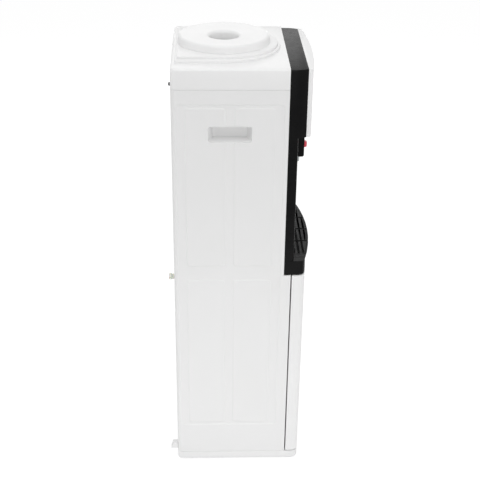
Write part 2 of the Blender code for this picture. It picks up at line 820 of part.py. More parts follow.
def side_panel(name, side):
    """A pressed side panel: folded back and front edges, raised fields and a hand hole."""
    def inward(distance):
        return side * (HALF_WIDTH - distance)

    section = rounded_outline([
        (inward(FRONT_RETURN), Y_PANEL, 0),
        (inward(0), Y_PANEL, PANEL_EDGE),
        (inward(0), Y_BACK, REAR_CORNER),
        (inward(REAR_RETURN), Y_BACK, 0),
        (inward(REAR_RETURN), Y_BACK - PANEL_WALL, 0),
        (inward(PANEL_WALL), Y_BACK - PANEL_WALL, REAR_CORNER - PANEL_WALL),
        (inward(PANEL_WALL), Y_PANEL + PANEL_WALL, 0),
        (inward(FRONT_RETURN), Y_PANEL + PANEL_WALL, 0),
    ])
    rings = [at_z(section, Z_PLINTH + SEAM), at_z(section, Z_SKIRT - SEAM)]
    piece = loft(name, rings, white_steel())
    frame, fields = frame_fields()
    outer = rectangle(*grown(frame, CHANNEL_SLOPE), CHANNEL_CORNER + CHANNEL_SLOPE)
    inner = rectangle(*frame, CHANNEL_CORNER)
    beyond = rectangle(*grown(frame, CHANNEL_SLOPE), CHANNEL_CORNER + CHANNEL_SLOPE)
    pressing = [
        at_x(inner, inward(CHANNEL_DEPTH)), at_x(outer, inward(0)), at_x(beyond, inward(-OVERRUN))
    ]
    subtract(piece, loft("cut_frame_" + name, pressing))
    pads = []
    for field in fields:
        foot = rectangle(*field, CHANNEL_CORNER)
        face = rectangle(*grown(field, -CHANNEL_SLOPE), CHANNEL_CORNER - CHANNEL_SLOPE)
        root = inward(CHANNEL_DEPTH + EMBED)
        pads.append([at_x(foot, root), at_x(foot, inward(CHANNEL_DEPTH)), at_x(face, inward(0))])
    unite(piece, lofts("add_fields_" + name, pads))
    hole = rectangle(*grip_span(), GRIP_CORNER)
    subtract(
        piece,
        loft(
            "cut_grip_" + name, [at_x(hole, inward(-OVERRUN)), at_x(hole, inward(PANEL_WALL + OVERRUN))]
        ),
    )
    notch = rectangle(Y_PANEL - OVERRUN, Y_SIDE + SEAM, Z_HOUSING - SEAM, Z_SKIRT + OVERRUN)
    reach = FRONT_RETURN + OVERRUN
    subtract(
        piece, loft("cut_notch_" + name, [at_x(notch, inward(-OVERRUN)), at_x(notch, inward(reach))])
    )


def hand_grip(name, side):
    """The moulded cup behind a hand hole, with a flange against the panel's inside."""
    def inward(distance):
        return side * (HALF_WIDTH - PANEL_WALL - SEAM - distance)

    mouth = grip_span()
    low_y, high_y, low_z, high_z = mouth
    end = (
        low_y + GRIP_SIDE_DRAFT,
        high_y - GRIP_SIDE_DRAFT,
        low_z + GRIP_END_DRAFT,
        high_z - GRIP_END_DRAFT,
    )
    flange = rectangle(*grown(mouth, GRIP_FLANGE), GRIP_CORNER)
    rings = [
        at_x(rectangle(*grown(end, GRIP_WALL), GRIP_CORNER), inward(GRIP_DEPTH + GRIP_WALL)),
        at_x(rectangle(*grown(mouth, GRIP_WALL), GRIP_CORNER), inward(GRIP_WALL)),
        at_x(flange, inward(GRIP_WALL)),
        at_x(flange, inward(0)),
        at_x(rectangle(*mouth, GRIP_CORNER), inward(0)),
        at_x(rectangle(*end, GRIP_CORNER), inward(GRIP_DEPTH)),
    ]
    loft(name, rings, white_plastic())


def back_panel():
    """The plain sheet between the side panels' folded edges, with its vents and holes."""
    low = Z_PLINTH + SEAM
    high = Z_SKIRT - SEAM
    reach = HALF_WIDTH - PANEL_WALL - REAR_CORNER
    outline = rectangle(-reach, reach, low, high)
    inner = Y_BACK_SHEET - BACK_SHEET
    piece = loft("back_panel", [at_y(outline, inner), at_y(outline, Y_BACK_SHEET)], white_steel())
    slots = []
    fan_z = cold_block_z()
    lower_z = Z_HOUSING + LOWER_VENT_RISE
    for centre, rows in ((fan_z, VENT_ROWS), (lower_z, LOWER_VENT_ROWS)):
        for row in range(rows):
            z = centre + VENT_PITCH * (row - (rows - 1) / 2)
            slot = rectangle(
                -VENT_LENGTH / 2, VENT_LENGTH / 2, z - VENT_HEIGHT / 2, z + VENT_HEIGHT / 2
            )
            slots.append([at_y(slot, inner - OVERRUN), at_y(slot, Y_BACK + OVERRUN)])
    subtract(piece, lofts("cut_vents", slots))
    holes = [
        circle(-DRAIN_SPREAD, DRAIN_HEIGHT, DRAIN_RADIUS + SEAM, SMALL_STEPS),
        circle(GLAND_SPREAD, GLAND_HEIGHT, GLAND_RADIUS + SEAM, SMALL_STEPS),
    ]
    holes.append(rectangle(*grown(bezel_window(), BEZEL_WALL + SEAM)))
    subtract(piece, lofts("cut_back_holes", [[at_y(hole, inner - OVERRUN), at_y(hole, Y_BACK + OVERRUN)]
                                             for hole in holes]))


def rear_spacer():
    """The wedge low on the back, at one corner, that keeps the cooler off the wall."""
    middle = HALF_WIDTH - (REAR_CORNER + REAR_RETURN) / 2
    low = Z_PLINTH + SPACER_RISE
    seat = Y_BACK + SEAM
    proud = Y_REAR - seat
    side = rounded_outline([
        (seat, low, 0),
        (Y_REAR, low, SPACER_EDGE),
        (Y_REAR, low + 2 * SPACER_EDGE, 0),
        (seat + proud * SPACER_TOP_SHARE, low + SPACER_HEIGHT, SPACER_EDGE),
        (seat, low + SPACER_HEIGHT, 0),
    ])
    rings = [at_x(side, -middle - SPACER_WIDTH / 2), at_x(side, -middle + SPACER_WIDTH / 2)]
    loft("rear_spacer", rings, white_plastic())


def cover_screws():
    """Two dark screws that hold the top cover's skirt at the back."""
    profile = [
        (0, -SCREW_PROUD),
        (SCREW_SHANK, -SCREW_PROUD),
        (SCREW_SHANK, SEAM),
        (SCREW_HEAD, SEAM),
        (SCREW_HEAD, SCREW_PROUD - SCREW_EDGE),
        (SCREW_HEAD - SCREW_EDGE, SCREW_PROUD),
        (0, SCREW_PROUD),
    ]
    dark = material("dark_steel", (0.05, 0.05, 0.055), 0.4, 1.0)
    for name, x in (("cover_screw_left", -SCREW_SPREAD), ("cover_screw_right", SCREW_SPREAD)):
        turn(name, profile, (x, Y_BACK, Z_SKIRT + SCREW_RISE), dark, "Y", SMALL_STEPS)


def platform(name, half, nose, back, low, rise):
    """A raised step of the top cover: straight from the back, round at the front."""
    rings = []
    centre = nose + half
    soft = [(0.0, -EMBED), (0.0, rise - STEP_SOFT)]
    for step in range(1, EDGE_STEPS + 1):
        angle = math.pi / 2 * step / EDGE_STEPS
        soft.append((STEP_SOFT * (1 - math.cos(angle)), rise - STEP_SOFT * (1 - math.sin(angle))))
    for inset, height in soft:
        reach = half - inset
        outline = [(reach, back - inset)]
        for step in range(STEP_ARC_STEPS + 1):
            angle = -math.pi * step / STEP_ARC_STEPS
            outline.append((reach * math.cos(angle), centre + reach * math.sin(angle)))
        outline.append((-reach, back - inset))
        rings.append(at_z(outline, low + height))
    return loft(name, rings)


def top_cover():
    """The moulded top: a skirted shell with two raised steps and the bottle throat."""
    front = Y_SIDE + SEAM

    def outline(inset, front_inset=0.0):
        corner = max(REAR_CORNER - inset, FINE_RADIUS)
        side = HALF_WIDTH - inset
        return rounded_outline([(-side, front + front_inset, 0), (side, front + front_inset, 0),
                                (side, Y_BACK - inset, corner), (-side, Y_BACK - inset, corner)])

    rings = [
        at_z(outline(COVER_WALL, COVER_WALL), Z_TOP - COVER_WALL),
        at_z(outline(COVER_WALL, COVER_WALL), Z_SKIRT),
        at_z(outline(0.0), Z_SKIRT),
    ]
    for step in range(CORNER_STEPS + 1):
        angle = math.pi / 2 * step / CORNER_STEPS
        inset = COVER_FILLET * (1 - math.cos(angle))
        rings.append(at_z(outline(inset), Z_TOP - COVER_FILLET * (1 - math.sin(angle))))
    piece = loft("top_cover", rings, white_plastic())
    back = Y_BACK - COVER_FILLET - STEP_SETBACK
    unite(
        piece,
        platform("add_outer_step", OUTER_STEP_HALF, Y_SIDE + OUTER_STEP_NOSE, back, Z_TOP, STEP_RISE),
    )
    back -= STEP_SOFT + STEP_SETBACK
    inner_low = Z_TOP + STEP_RISE
    unite(
        piece,
        platform(
            "add_inner_step", INNER_STEP_HALF, Y_SIDE + INNER_STEP_NOSE, back, inner_low, STEP_RISE
        ),
    )
    bore = THROAT_RADIUS + SEAT_WALL + SEAM
    collar = [
        (bore - EMBED, Z_TOP - COVER_WALL + EMBED),
        (bore - EMBED, Z_TOP - COLLAR_DROP),
        (bore + COLLAR_WALL, Z_TOP - COLLAR_DROP),
        (bore + COLLAR_WALL, Z_TOP - COVER_WALL + EMBED),
    ]
    unite(piece, turn("add_collar", collar, (0, SEAT_Y, 0), steps=SEAT_STEPS))
    hole = circle(0, SEAT_Y, bore, SEAT_STEPS)
    subtract(
        piece,
        loft("cut_throat", [at_z(hole, Z_TOP - COLLAR_DROP - OVERRUN), at_z(hole, Z_SEAT + OVERRUN)]),
    )
    holes = [
        circle(x, Z_SKIRT + SCREW_RISE, SCREW_SHANK + SEAM, SMALL_STEPS)
        for x in (-SCREW_SPREAD, SCREW_SPREAD)
    ]
    subtract(
        piece,
        lofts(
            "cut_screw_holes",
            [
                [at_y(hole, Y_BACK - COVER_WALL - SCREW_PROUD), at_y(hole, Y_BACK + OVERRUN)]
                for hole in holes
            ],
        ),
    )


def bottle_seat():
    """The lift-off seat: a broad dished ring that turns down into a floored throat."""
    low = Z_SEAT + SEAM
    crest = Z_SEAT + SEAT_RISE
    lip = crest - SEAT_DISH
    floor = Z_SEAT - THROAT_DEPTH
    inner = PROBE_RADIUS + SEAM
    shoulder = SEAT_SHOULDER - SEAT_WALL
    profile = rounded_outline([
        (THROAT_RADIUS + SEAT_WALL, lip - SEAT_WALL, THROAT_LIP - SEAT_WALL),
        (SEAT_CREST_RADIUS - SEAT_WALL - shoulder, crest - SEAT_WALL, 0),
        (SEAT_CREST_RADIUS - SEAT_WALL, crest - SEAT_SHOULDER, 0),
        (SEAT_RADIUS - SEAT_WALL, low, 0),
        (SEAT_RADIUS, low, 0),
        (SEAT_CREST_RADIUS, crest, SEAT_SHOULDER),
        (THROAT_RADIUS, lip, THROAT_LIP),
        (THROAT_RADIUS, floor + SEAT_WALL, 0),
        (inner, floor + SEAT_WALL, 0),
        (inner, floor, 0),
        (THROAT_RADIUS + SEAT_WALL, floor, 0),
    ])
    return turn("bottle_seat", profile, (0, SEAT_Y, 0), white_plastic(), steps=SEAT_STEPS)


def bottle_probe():
    """The hollow spike that opens the bottle's cap, standing in the seat's throat."""
    seat = Z_SEAT - THROAT_DEPTH + SEAT_WALL + SEAM
    top = seat + PROBE_RISE
    bottom = seat - PROBE_DROP
    profile = rounded_outline([
        (0, top, 0),
        (PROBE_RADIUS, top - PROBE_RADIUS / 2, PROBE_BORE / 2),
        (PROBE_RADIUS, seat + LID_THICK, 0),
        (PROBE_FLANGE, seat + LID_THICK, 0),
        (PROBE_FLANGE, seat, 0),
        (PROBE_RADIUS, seat, 0),
        (PROBE_RADIUS, bottom, 0),
        (PROBE_BORE, bottom, 0),
        (PROBE_BORE, top - PROBE_RADIUS, 0),
        (0, top - PROBE_BORE, 0),
    ])
    piece = turn("bottle_probe", profile, (0, SEAT_Y, 0), white_plastic(), steps=SMALL_STEPS)
    height = top - PROBE_WINDOW_DROP
    window = circle(SEAT_Y, height, PROBE_WINDOW, SMALL_STEPS)
    reach = PROBE_RADIUS + OVERRUN
    subtract(piece, loft("cut_probe_window", [at_x(window, -reach), at_x(window, reach)]))
    return piece


def tank_levels():
    """Return the cold tank's floor and rim heights, worked down from the seat's throat."""
    lid_top = Z_SEAT - THROAT_DEPTH - LID_GAP_BELOW_SEAT
    rim = lid_top - LID_THICK - SEAM
    return rim - TANK_HEIGHT, rim


def cold_block_z():
    return tank_levels()[0] + COLD_BLOCK_RISE


def spigot_places():
    """Return the plan places of the cold tank's two bottom spigots."""
    return [(SPIGOT_SPREAD, SEAT_Y), (-SPIGOT_SPREAD, SEAT_Y)]


def cold_tank():
    """The open cold tank with a dished floor, a rim flange and two spigots below."""
    floor, rim = tank_levels()
    inner = TANK_RADIUS - TANK_WALL
    profile = rounded_outline([
        (0, floor, 0),
        (TANK_RADIUS, floor, TANK_DOME),
        (TANK_RADIUS, rim - LID_THICK, 0),
        (TANK_RADIUS + TANK_FLANGE, rim - LID_THICK, 0),
        (TANK_RADIUS + TANK_FLANGE, rim, 0),
        (inner, rim, 0),
        (inner, floor + TANK_WALL, TANK_DOME - TANK_WALL),
        (0, floor + TANK_WALL, 0),
    ], EDGE_STEPS)
    piece = turn("cold_tank", profile, (0, SEAT_Y, 0), grey_plastic(), steps=TANK_STEPS)
    bottom = shelf_top() - SHELF_SHEET - SLIDE_FIT
    for index, (x, y) in enumerate(spigot_places()):
        stub = circle(x, y, SPIGOT_RADIUS, SMALL_STEPS)
        unite(
            piece,
            loft("add_spigot_%d" % index, [at_z(stub, bottom), at_z(stub, floor + TANK_WALL / 2)]),
        )


def tank_lid():
    """The lid that closes the cold tank round the probe."""
    rim = tank_levels()[1]
    low = rim + SEAM
    outer = TANK_RADIUS + TANK_FLANGE
    inner = PROBE_RADIUS + SLIDE_FIT
    profile = [
        (inner, low),
        (outer, low),
        (outer, low + LID_THICK),
        (inner + COLLAR_WALL, low + LID_THICK),
        (inner + COLLAR_WALL, low + LID_THICK + SEAT_WALL),
        (inner, low + LID_THICK + SEAT_WALL),
    ]
    turn("tank_lid", profile, (0, SEAT_Y, 0), grey_plastic(), steps=TANK_STEPS)


def shelf_top():
    """Return the height of the tank shelf's upper face."""
    return tank_levels()[0] - SEAM - JACKET_FLOOR - SEAM


def tank_jacket():
    """The foam jacket under and round the cold tank, with a window for the cold block."""
    floor, rim = tank_levels()
    low = shelf_top() + SEAM
    inner = TANK_RADIUS + SEAM
    outer = inner + JACKET_WALL
    high = rim - LID_THICK - SEAM
    profile = [
        (0, low), (outer, low), (outer, high), (inner, high), (inner, floor - SEAM), (0, floor - SEAM)
    ]
    piece = turn("cold_tank_jacket", profile, (0, SEAT_Y, 0), foam(), steps=TANK_STEPS)
    holes = [circle(x, y, SPIGOT_RADIUS + SLIDE_FIT, SMALL_STEPS) for x, y in spigot_places()]
    subtract(
        piece,
        lofts(
            "cut_jacket_holes",
            [[at_z(hole, low - OVERRUN), at_z(hole, floor + OVERRUN)] for hole in holes],
        ),
    )
    reach = COLD_BLOCK_HALF + SEAM
    tall = COLD_BLOCK_HEIGHT / 2 + SEAM
    window = rectangle(-reach, reach, cold_block_z() - tall, cold_block_z() + tall)
    subtract(piece, loft("cut_jacket_window", [at_y(window, SEAT_Y), at_y(window, Y_BACK)]))


def folded_shelf(name, top, front, back, sheet, flange, look, holes=()):
    """A sheet shelf between the side panels, folded down along both sides."""
    reach = HALF_WIDTH - PANEL_WALL - SEAM
    section = [(-reach, top - flange), (-reach + sheet, top - flange), (-reach + sheet, top - sheet),
               (reach - sheet, top - sheet), (reach - sheet, top - flange), (reach, top - flange),
               (reach, top), (-reach, top)]
    piece = loft(name, [at_y(section, front), at_y(section, back)], look)
    if holes:
        spans = [[at_z(hole, top - sheet - OVERRUN), at_z(hole, top + OVERRUN)] for hole in holes]
        subtract(piece, lofts("cut_holes_" + name, spans))


def tank_shelf():
    """The steel shelf that carries the cold tank above the hot one."""
    front = SEAT_Y - TANK_RADIUS + SHELF_FRONT
    back = Y_BACK - REAR_CORNER - SEAM
    holes = [circle(x, y, SPIGOT_RADIUS + SLIDE_FIT, SMALL_STEPS) for x, y in spigot_places()]
    folded_shelf("tank_shelf", shelf_top(), front, back, SHELF_SHEET, SHELF_FLANGE, steel(), holes)


def cooling_planes():
    """Return the Y planes from the tank back to the fan: block, plate, sink and fan."""
    fan_back = Y_BACK_SHEET - BACK_SHEET - SEAM
    fan_front = fan_back - FAN_THICK
    sink_back = fan_front - SEAM
    block_front = SEAT_Y + TANK_RADIUS + SEAM - (
        TANK_RADIUS - math.sqrt(TANK_RADIUS ** 2 - COLD_BLOCK_HALF ** 2)
    )
    block_back = SEAT_Y + TANK_RADIUS + COLD_BLOCK_DEPTH
    plate_front = block_back + SEAM
    sink_front = plate_front + PELTIER_THICK + SEAM
    return block_front, block_back, plate_front, sink_front, sink_back, fan_front, fan_back


def cooling_unit():
    """Cold block, thermoelectric plate, finned heat sink, fan frame and fan rotor."""
    block_front, block_back, plate_front, sink_front, sink_back, fan_front, fan_back = cooling_planes()
    z = cold_block_z()
    low = z - COLD_BLOCK_HEIGHT / 2
    high = z + COLD_BLOCK_HEIGHT / 2
    outline = rectangle(-COLD_BLOCK_HALF, COLD_BLOCK_HALF, block_front, block_back)
    alloy = material("aluminium", (0.70, 0.71, 0.72), 0.42, 1.0)
    block = loft("cold_block", [at_z(outline, low), at_z(outline, high)], alloy)
    hug = circle(0, SEAT_Y, TANK_RADIUS + SEAM, TANK_STEPS)
    subtract(block, loft("cut_block_hug", [at_z(hug, low - OVERRUN), at_z(hug, high + OVERRUN)]))
    plate = rectangle(-COLD_BLOCK_HALF, COLD_BLOCK_HALF, low, high)
    ceramic = material("ceramic", (0.80, 0.78, 0.72), 0.5)
    loft(
        "thermoelectric_plate",
        [at_y(plate, plate_front), at_y(plate, plate_front + PELTIER_THICK)],
        ceramic,
    )
    comb = [(-SINK_HALF, sink_front), (SINK_HALF, sink_front)]
    pitch = (2 * SINK_HALF - SINK_FIN) / (SINK_FINS - 1)
    for fin in reversed(range(SINK_FINS)):
        right = -SINK_HALF + SINK_FIN + pitch * fin
        left = right - SINK_FIN
        root = sink_front + SINK_BASE
        comb += [(right, root)] if fin < SINK_FINS - 1 else []
        comb += [(right, sink_back), (left, sink_back)]
        comb += [(left, root)] if fin > 0 else []
    loft("heat_sink", [at_z(comb, z - SINK_HEIGHT / 2), at_z(comb, z + SINK_HEIGHT / 2)], alloy)
    square = rectangle(-FAN_HALF, FAN_HALF, z - FAN_HALF, z + FAN_HALF, FAN_CORNER)
    frame = loft("fan_frame", [at_y(square, fan_front), at_y(square, fan_back)], black_plastic())
    well = circle(0, z, FAN_SWEEP, TANK_STEPS)
    subtract(
        frame, loft("cut_fan_well", [at_y(well, fan_front - OVERRUN), at_y(well, fan_back + OVERRUN)])
    )
    spoke_back = fan_back - FAN_BLADE_THICK
    cross = rectangle(-FAN_SWEEP - EMBED, FAN_SWEEP + EMBED, z - FAN_SPOKE / 2, z + FAN_SPOKE / 2)
    upright = rectangle(-FAN_SPOKE / 2, FAN_SPOKE / 2, z - FAN_SWEEP - EMBED, z + FAN_SWEEP + EMBED)
    unite(frame, loft("add_fan_cross", [at_y(cross, spoke_back), at_y(cross, fan_back)]))
    unite(frame, loft("add_fan_upright", [at_y(upright, spoke_back), at_y(upright, fan_back)]))
    stub = circle(0, z, FAN_AXLE, SMALL_STEPS)
    unite(
        frame,
        loft(
            "add_fan_axle",
            [at_y(stub, fan_front + FAN_AXLE), at_y(stub, fan_back - FAN_BLADE_THICK / 2)],
        ),
    )
    rotor_back = spoke_back - SLIDE_FIT
    rotor_front = fan_front + SLIDE_FIT
    hub = [
        (FAN_AXLE + SEAM, rotor_front),
        (FAN_HUB, rotor_front),
        (FAN_HUB, rotor_back),
        (FAN_AXLE + SEAM, rotor_back),
    ]
    rotor = turn("fan_rotor", hub, (0, 0, z), black_plastic(), "Y")
    blades = []
    tip = FAN_SWEEP - FAN_TIP_GAP
    root = FAN_HUB - EMBED
    depth = (rotor_back - rotor_front) / 2
    middle = (rotor_back + rotor_front) / 2
    for blade in range(FAN_BLADES):
        spin = Matrix.Rotation(FULL_TURN * blade / FAN_BLADES, 3, "Y")
        rings = []
        for radius, half_depth, lean in (
            (root, depth - FAN_BLADE_THICK, depth), (tip, depth / 2, depth)
        ):
            ring = []
            for across, along in ((-lean, -half_depth), (FAN_BLADE_THICK - lean, -half_depth),
                                  (lean, half_depth), (lean - FAN_BLADE_THICK, half_depth)):
                ring.append(spin @ Vector((across, 0, radius)) + Vector((0, middle + along, z)))
            rings.append(ring)
        blades.append(rings)
    unite(rotor, lofts("add_blades", blades))
    hang_on_axis("fan_axis", (0, middle, z), rotor)


def hot_tank_place():
    """Return the plan centre and the foot height of the hot tank."""
    return (0, Y_BACK - HOT_BACK, Z_HOUSING)


def hot_tank():
    """The stainless hot tank: domed ends, a skirt to stand on, two spigots above and one below."""
    x, y, low = hot_tank_place()
    bottom = low + HOT_LEG
    top = bottom + HOT_HEIGHT
    profile = rounded_outline([
        (0, bottom, 0),
        (HOT_SKIRT - TANK_WALL, bottom, 0),
        (HOT_SKIRT - TANK_WALL, low, 0),
        (HOT_SKIRT, low, 0),
        (HOT_SKIRT, bottom, 0),
        (HOT_RADIUS, bottom, HOT_DOME),
        (HOT_RADIUS, top, HOT_DOME),
        (0, top, 0),
    ], EDGE_STEPS)
    piece = turn("hot_tank", profile, (x, y, 0), steel(), steps=TANK_STEPS)
    for index, offset in enumerate((-SPIGOT_SPREAD, SPIGOT_SPREAD)):
        stub = circle(x + offset, y, SPIGOT_RADIUS, SMALL_STEPS)
        unite(
            piece,
            loft("add_hot_spigot_%d" % index, [at_z(stub, top - EMBED), at_z(stub, top + HOT_DOME)]),
        )
    drain = circle(y, bottom + HOT_DOME + SPIGOT_RADIUS, SPIGOT_RADIUS, SMALL_STEPS)
    reach = x - HOT_JACKET_INNER
    unite(piece, loft("add_drain_spigot", [at_x(drain, reach), at_x(drain, x - HOT_RADIUS + EMBED)]))


def heater_band():
    """The band heater round the foot of the hot tank."""
    x, y, low = hot_tank_place()
    bottom = low + HOT_LEG + BAND_RISE
    inner = HOT_RADIUS + SEAM
    profile = [(inner, bottom), (inner + BAND_WALL, bottom), (inner + BAND_WALL, bottom + BAND_HEIGHT),
               (inner, bottom + BAND_HEIGHT)]
    turn("heater_band", profile, (x, y, 0), steel(), steps=TANK_STEPS)


def hot_jacket():
    """The foam jacket that stands round the hot tank, notched for the drain."""
    x, y, low = hot_tank_place()
    profile = [
        (HOT_JACKET_INNER, low),
        (HOT_JACKET_OUTER, low),
        (HOT_JACKET_OUTER, low + HOT_JACKET_HEIGHT),
        (HOT_JACKET_INNER, low + HOT_JACKET_HEIGHT),
    ]
    piece = turn("hot_tank_jacket", profile, (x, y, 0), foam(), steps=TANK_STEPS)
    drain_z = low + HOT_LEG + HOT_DOME + SPIGOT_RADIUS
    notch = rectangle(
        y - JACKET_NOTCH / 2, y + JACKET_NOTCH / 2, low - OVERRUN, drain_z + JACKET_NOTCH / 2
    )
    subtract(
        piece, loft("cut_jacket_notch", [at_x(notch, x - HOT_JACKET_OUTER - OVERRUN), at_x(notch, x)])
    )


def water_tubes():
    """The silicone tubes between the tanks, the taps and the drain."""
    x, y, low = hot_tank_place()
    hot_top = low + HOT_LEG + HOT_HEIGHT + HOT_DOME + SEAM
    cold_low = shelf_top() - SHELF_SHEET - SLIDE_FIT - SEAM
    tail = Y_ALCOVE + ALCOVE_DEPTH + LINER_WALL + SHANK_TAIL + SEAM
    bend = SHELF_FLANGE
    room = 2 * SHELF_FLANGE
    beside = TANK_RADIUS + SEAM + JACKET_WALL + TUBE_RADIUS + SLIDE_FIT
    (cold_x, cold_y), (feed_x, feed_y) = spigot_places()
    hot_x = x - SPIGOT_SPREAD
    return_x = x + SPIGOT_SPREAD
    drain_z = low + HOT_LEG + HOT_DOME + SPIGOT_RADIUS
    barb = Y_BACK_SHEET - BACK_SHEET - DRAIN_BARB
    tube("cold_tube", [
        (cold_x, cold_y, cold_low),
        (cold_x, cold_y, cold_low - bend / 2),
        ((cold_x + beside) / 2, (cold_y + tail) / 2, cold_low - room),
        (beside, tail + bend, cold_low - bend),
        (beside, tail + room, (TAP_Z + cold_low) / 2),
        (TAP_SPREAD, tail + bend / 2, TAP_Z),
        (TAP_SPREAD, tail, TAP_Z),
    ], TUBE_RADIUS, silicone())
    tube("hot_tube", [
        (hot_x, y, hot_top),
        (hot_x, y, hot_top + bend / 2),
        ((hot_x - beside) / 2, (y + tail) / 2, hot_top + bend),
        (-beside, tail + room, (TAP_Z + hot_top) / 2),
        (-TAP_SPREAD, tail + bend / 2, TAP_Z),
        (-TAP_SPREAD, tail, TAP_Z),
    ], TUBE_RADIUS, silicone())
    tube("drain_tube", [
        (x - HOT_JACKET_INNER - SEAM, y, drain_z),
        (x - HOT_JACKET_OUTER - TUBE_RADIUS, y, drain_z),
        (-DRAIN_SPREAD, (y + Y_BACK) / 2, low + HOT_LEG),
        (-DRAIN_SPREAD, Y_BACK - DECK_BACK + bend, low - bend / 2),
        (-DRAIN_SPREAD, barb - bend / 2, DRAIN_HEIGHT),
        (-DRAIN_SPREAD, barb - SEAM, DRAIN_HEIGHT),
    ], TUBE_RADIUS, silicone())
    tube("feed_tube", [
        (feed_x, feed_y, cold_low),
        (feed_x, feed_y, cold_low - bend / 2),
        ((feed_x + return_x) / 2, (feed_y + y) / 2, (cold_low + hot_top) / 2),
        (return_x, y, hot_top + bend / 2),
        (return_x, y, hot_top),
    ], TUBE_RADIUS, silicone())


def drain():
    """The drain outlet through the back panel and the cap that closes it."""
    barb = Y_BACK_SHEET - BACK_SHEET - DRAIN_BARB
    seat = Y_BACK_SHEET + SEAM
    mouth = Y_BACK + DRAIN_NECK
    outlet = [
        (DRAIN_BORE, barb),
        (DRAIN_RADIUS - SEAM, barb),
        (DRAIN_RADIUS - SEAM, seat),
        (DRAIN_FLANGE, seat),
        (DRAIN_FLANGE, seat + COVER_WALL),
        (DRAIN_RADIUS - SEAM, seat + COVER_WALL),
        (DRAIN_RADIUS - SEAM, mouth),
        (DRAIN_BORE, mouth),
    ]
    turn("drain_outlet", outlet, (-DRAIN_SPREAD, 0, DRAIN_HEIGHT), silicone(), "Y", SMALL_STEPS)
    face = mouth + SEAM
    end = face + CAP_LENGTH
    cap = [
        (0, face - CAP_STEM),
        (DRAIN_BORE - SEAM, face - CAP_STEM),
        (DRAIN_BORE - SEAM, face),
        (CAP_RADIUS, face),
        (CAP_RADIUS, end - CAP_RIM),
        (CAP_RADIUS - CAP_RIM, end),
        (0, end),
    ]
    piece = turn("drain_cap", cap, (-DRAIN_SPREAD, 0, DRAIN_HEIGHT), silicone(), "Y", SMALL_STEPS)
    hang_on_axis("drain_cap_axis", (-DRAIN_SPREAD, face, DRAIN_HEIGHT), piece)


def bezel_window():
    """Return the span of the switch bezel's two windows together, as (x, x, z, z)."""
    half_w = SWITCH_PITCH / 2 + ROCKER_WIDTH / 2 + BEZEL_WALL
    half_h = ROCKER_HEIGHT / 2 + ROCKER_TRAVEL_ROOM
    return SWITCH_SPREAD - half_w, SWITCH_SPREAD + half_w, SWITCH_HEIGHT - half_h, SWITCH_HEIGHT + half_h


def switches():
    """Two rocker switches in one bezel on the back: heating and cooling."""
    window = bezel_window()
    seat = Y_BACK_SHEET + SEAM
    face = seat + BEZEL_FACE
    end = Y_BACK_SHEET - BACK_SHEET - BEZEL_DEPTH
    lip = rectangle(*grown(window, BEZEL_LIP + BEZEL_WALL), BEZEL_WALL)
    body = rectangle(*grown(window, BEZEL_WALL), BEZEL_WALL)
    rings = [at_y(body, end), at_y(body, seat), at_y(lip, seat), at_y(lip, face)]
    bezel = loft("switch_bezel", rings, black_plastic())
    wells = []
    places = (("rocker_heating", SWITCH_SPREAD - SWITCH_PITCH / 2, HEATING_RED),
              ("rocker_cooling", SWITCH_SPREAD + SWITCH_PITCH / 2, COOLING_GREEN))
    for name, x, colour in places:
        reach = ROCKER_WIDTH / 2 + SEAM
        well = rectangle(x - reach, x + reach, window[2], window[3])
        wells.append([at_y(well, end + BEZEL_WALL), at_y(well, Y_BACK + OVERRUN)])
    subtract(bezel, lofts("cut_rocker_wells", wells))
    pivot_y = face - ROCKER_DEPTH / 2
    for name, x, colour in places:
        half = ROCKER_HEIGHT / 2
        section = [
            (-ROCKER_DEPTH / 2, -half / 2),
            (-ROCKER_DEPTH / 2, half / 2),
            (ROCKER_DEPTH / 2 - ROCKER_HOLLOW, half),
            (ROCKER_DEPTH / 2 + ROCKER_PROUD, half),
            (ROCKER_DEPTH / 2 + ROCKER_PROUD - ROCKER_HOLLOW, 0),
            (ROCKER_DEPTH / 2 + ROCKER_PROUD, -half),
            (ROCKER_DEPTH / 2 - ROCKER_HOLLOW, -half),
        ]
        tilt = Matrix.Rotation(ROCKER_REST, 2)
        tilted = [tilt @ Vector(point) for point in section]
        placed = [(point.x + pivot_y, point.y + SWITCH_HEIGHT) for point in tilted]
        look = material(name, colour, 0.35)
        rocker = loft(
            name, [at_x(placed, x - ROCKER_WIDTH / 2), at_x(placed, x + ROCKER_WIDTH / 2)], look
        )
        hang_on_axis(name + "_axis", (x, pivot_y, SWITCH_HEIGHT), rocker)


def mains_gland():
    """The grommet where the mains lead enters the back panel."""
    seat = Y_BACK_SHEET + SEAM
    inner = Y_BACK_SHEET - BACK_SHEET - SEAM
    groove = GLAND_RADIUS
    profile = [
        (GLAND_BORE, inner - GLAND_LENGTH / 2),
        (groove, inner - GLAND_LENGTH / 2),
        (GLAND_FLANGE - FOOT_EDGE, inner - FOOT_EDGE),
        (GLAND_FLANGE - FOOT_EDGE, inner),
        (groove, inner),
        (groove, seat),
        (GLAND_FLANGE, seat),
        (GLAND_FLANGE, seat + FOOT_EDGE),
        (groove, seat + GLAND_LENGTH / 2),
        (GLAND_BORE, seat + GLAND_LENGTH / 2),
    ]
    rubber = material("rubber", (0.03, 0.03, 0.03), 0.8)
    turn("mains_gland", profile, (GLAND_SPREAD, 0, GLAND_HEIGHT), rubber, "Y", SMALL_STEPS)


def band_half_width(y):
    """Return the black band's half width, which draws in towards its front edge."""
    share = min((Y_SIDE - y) / BAND_DEPTH, 1)
    return FRAME_HALF - BAND_TAPER * share ** 3


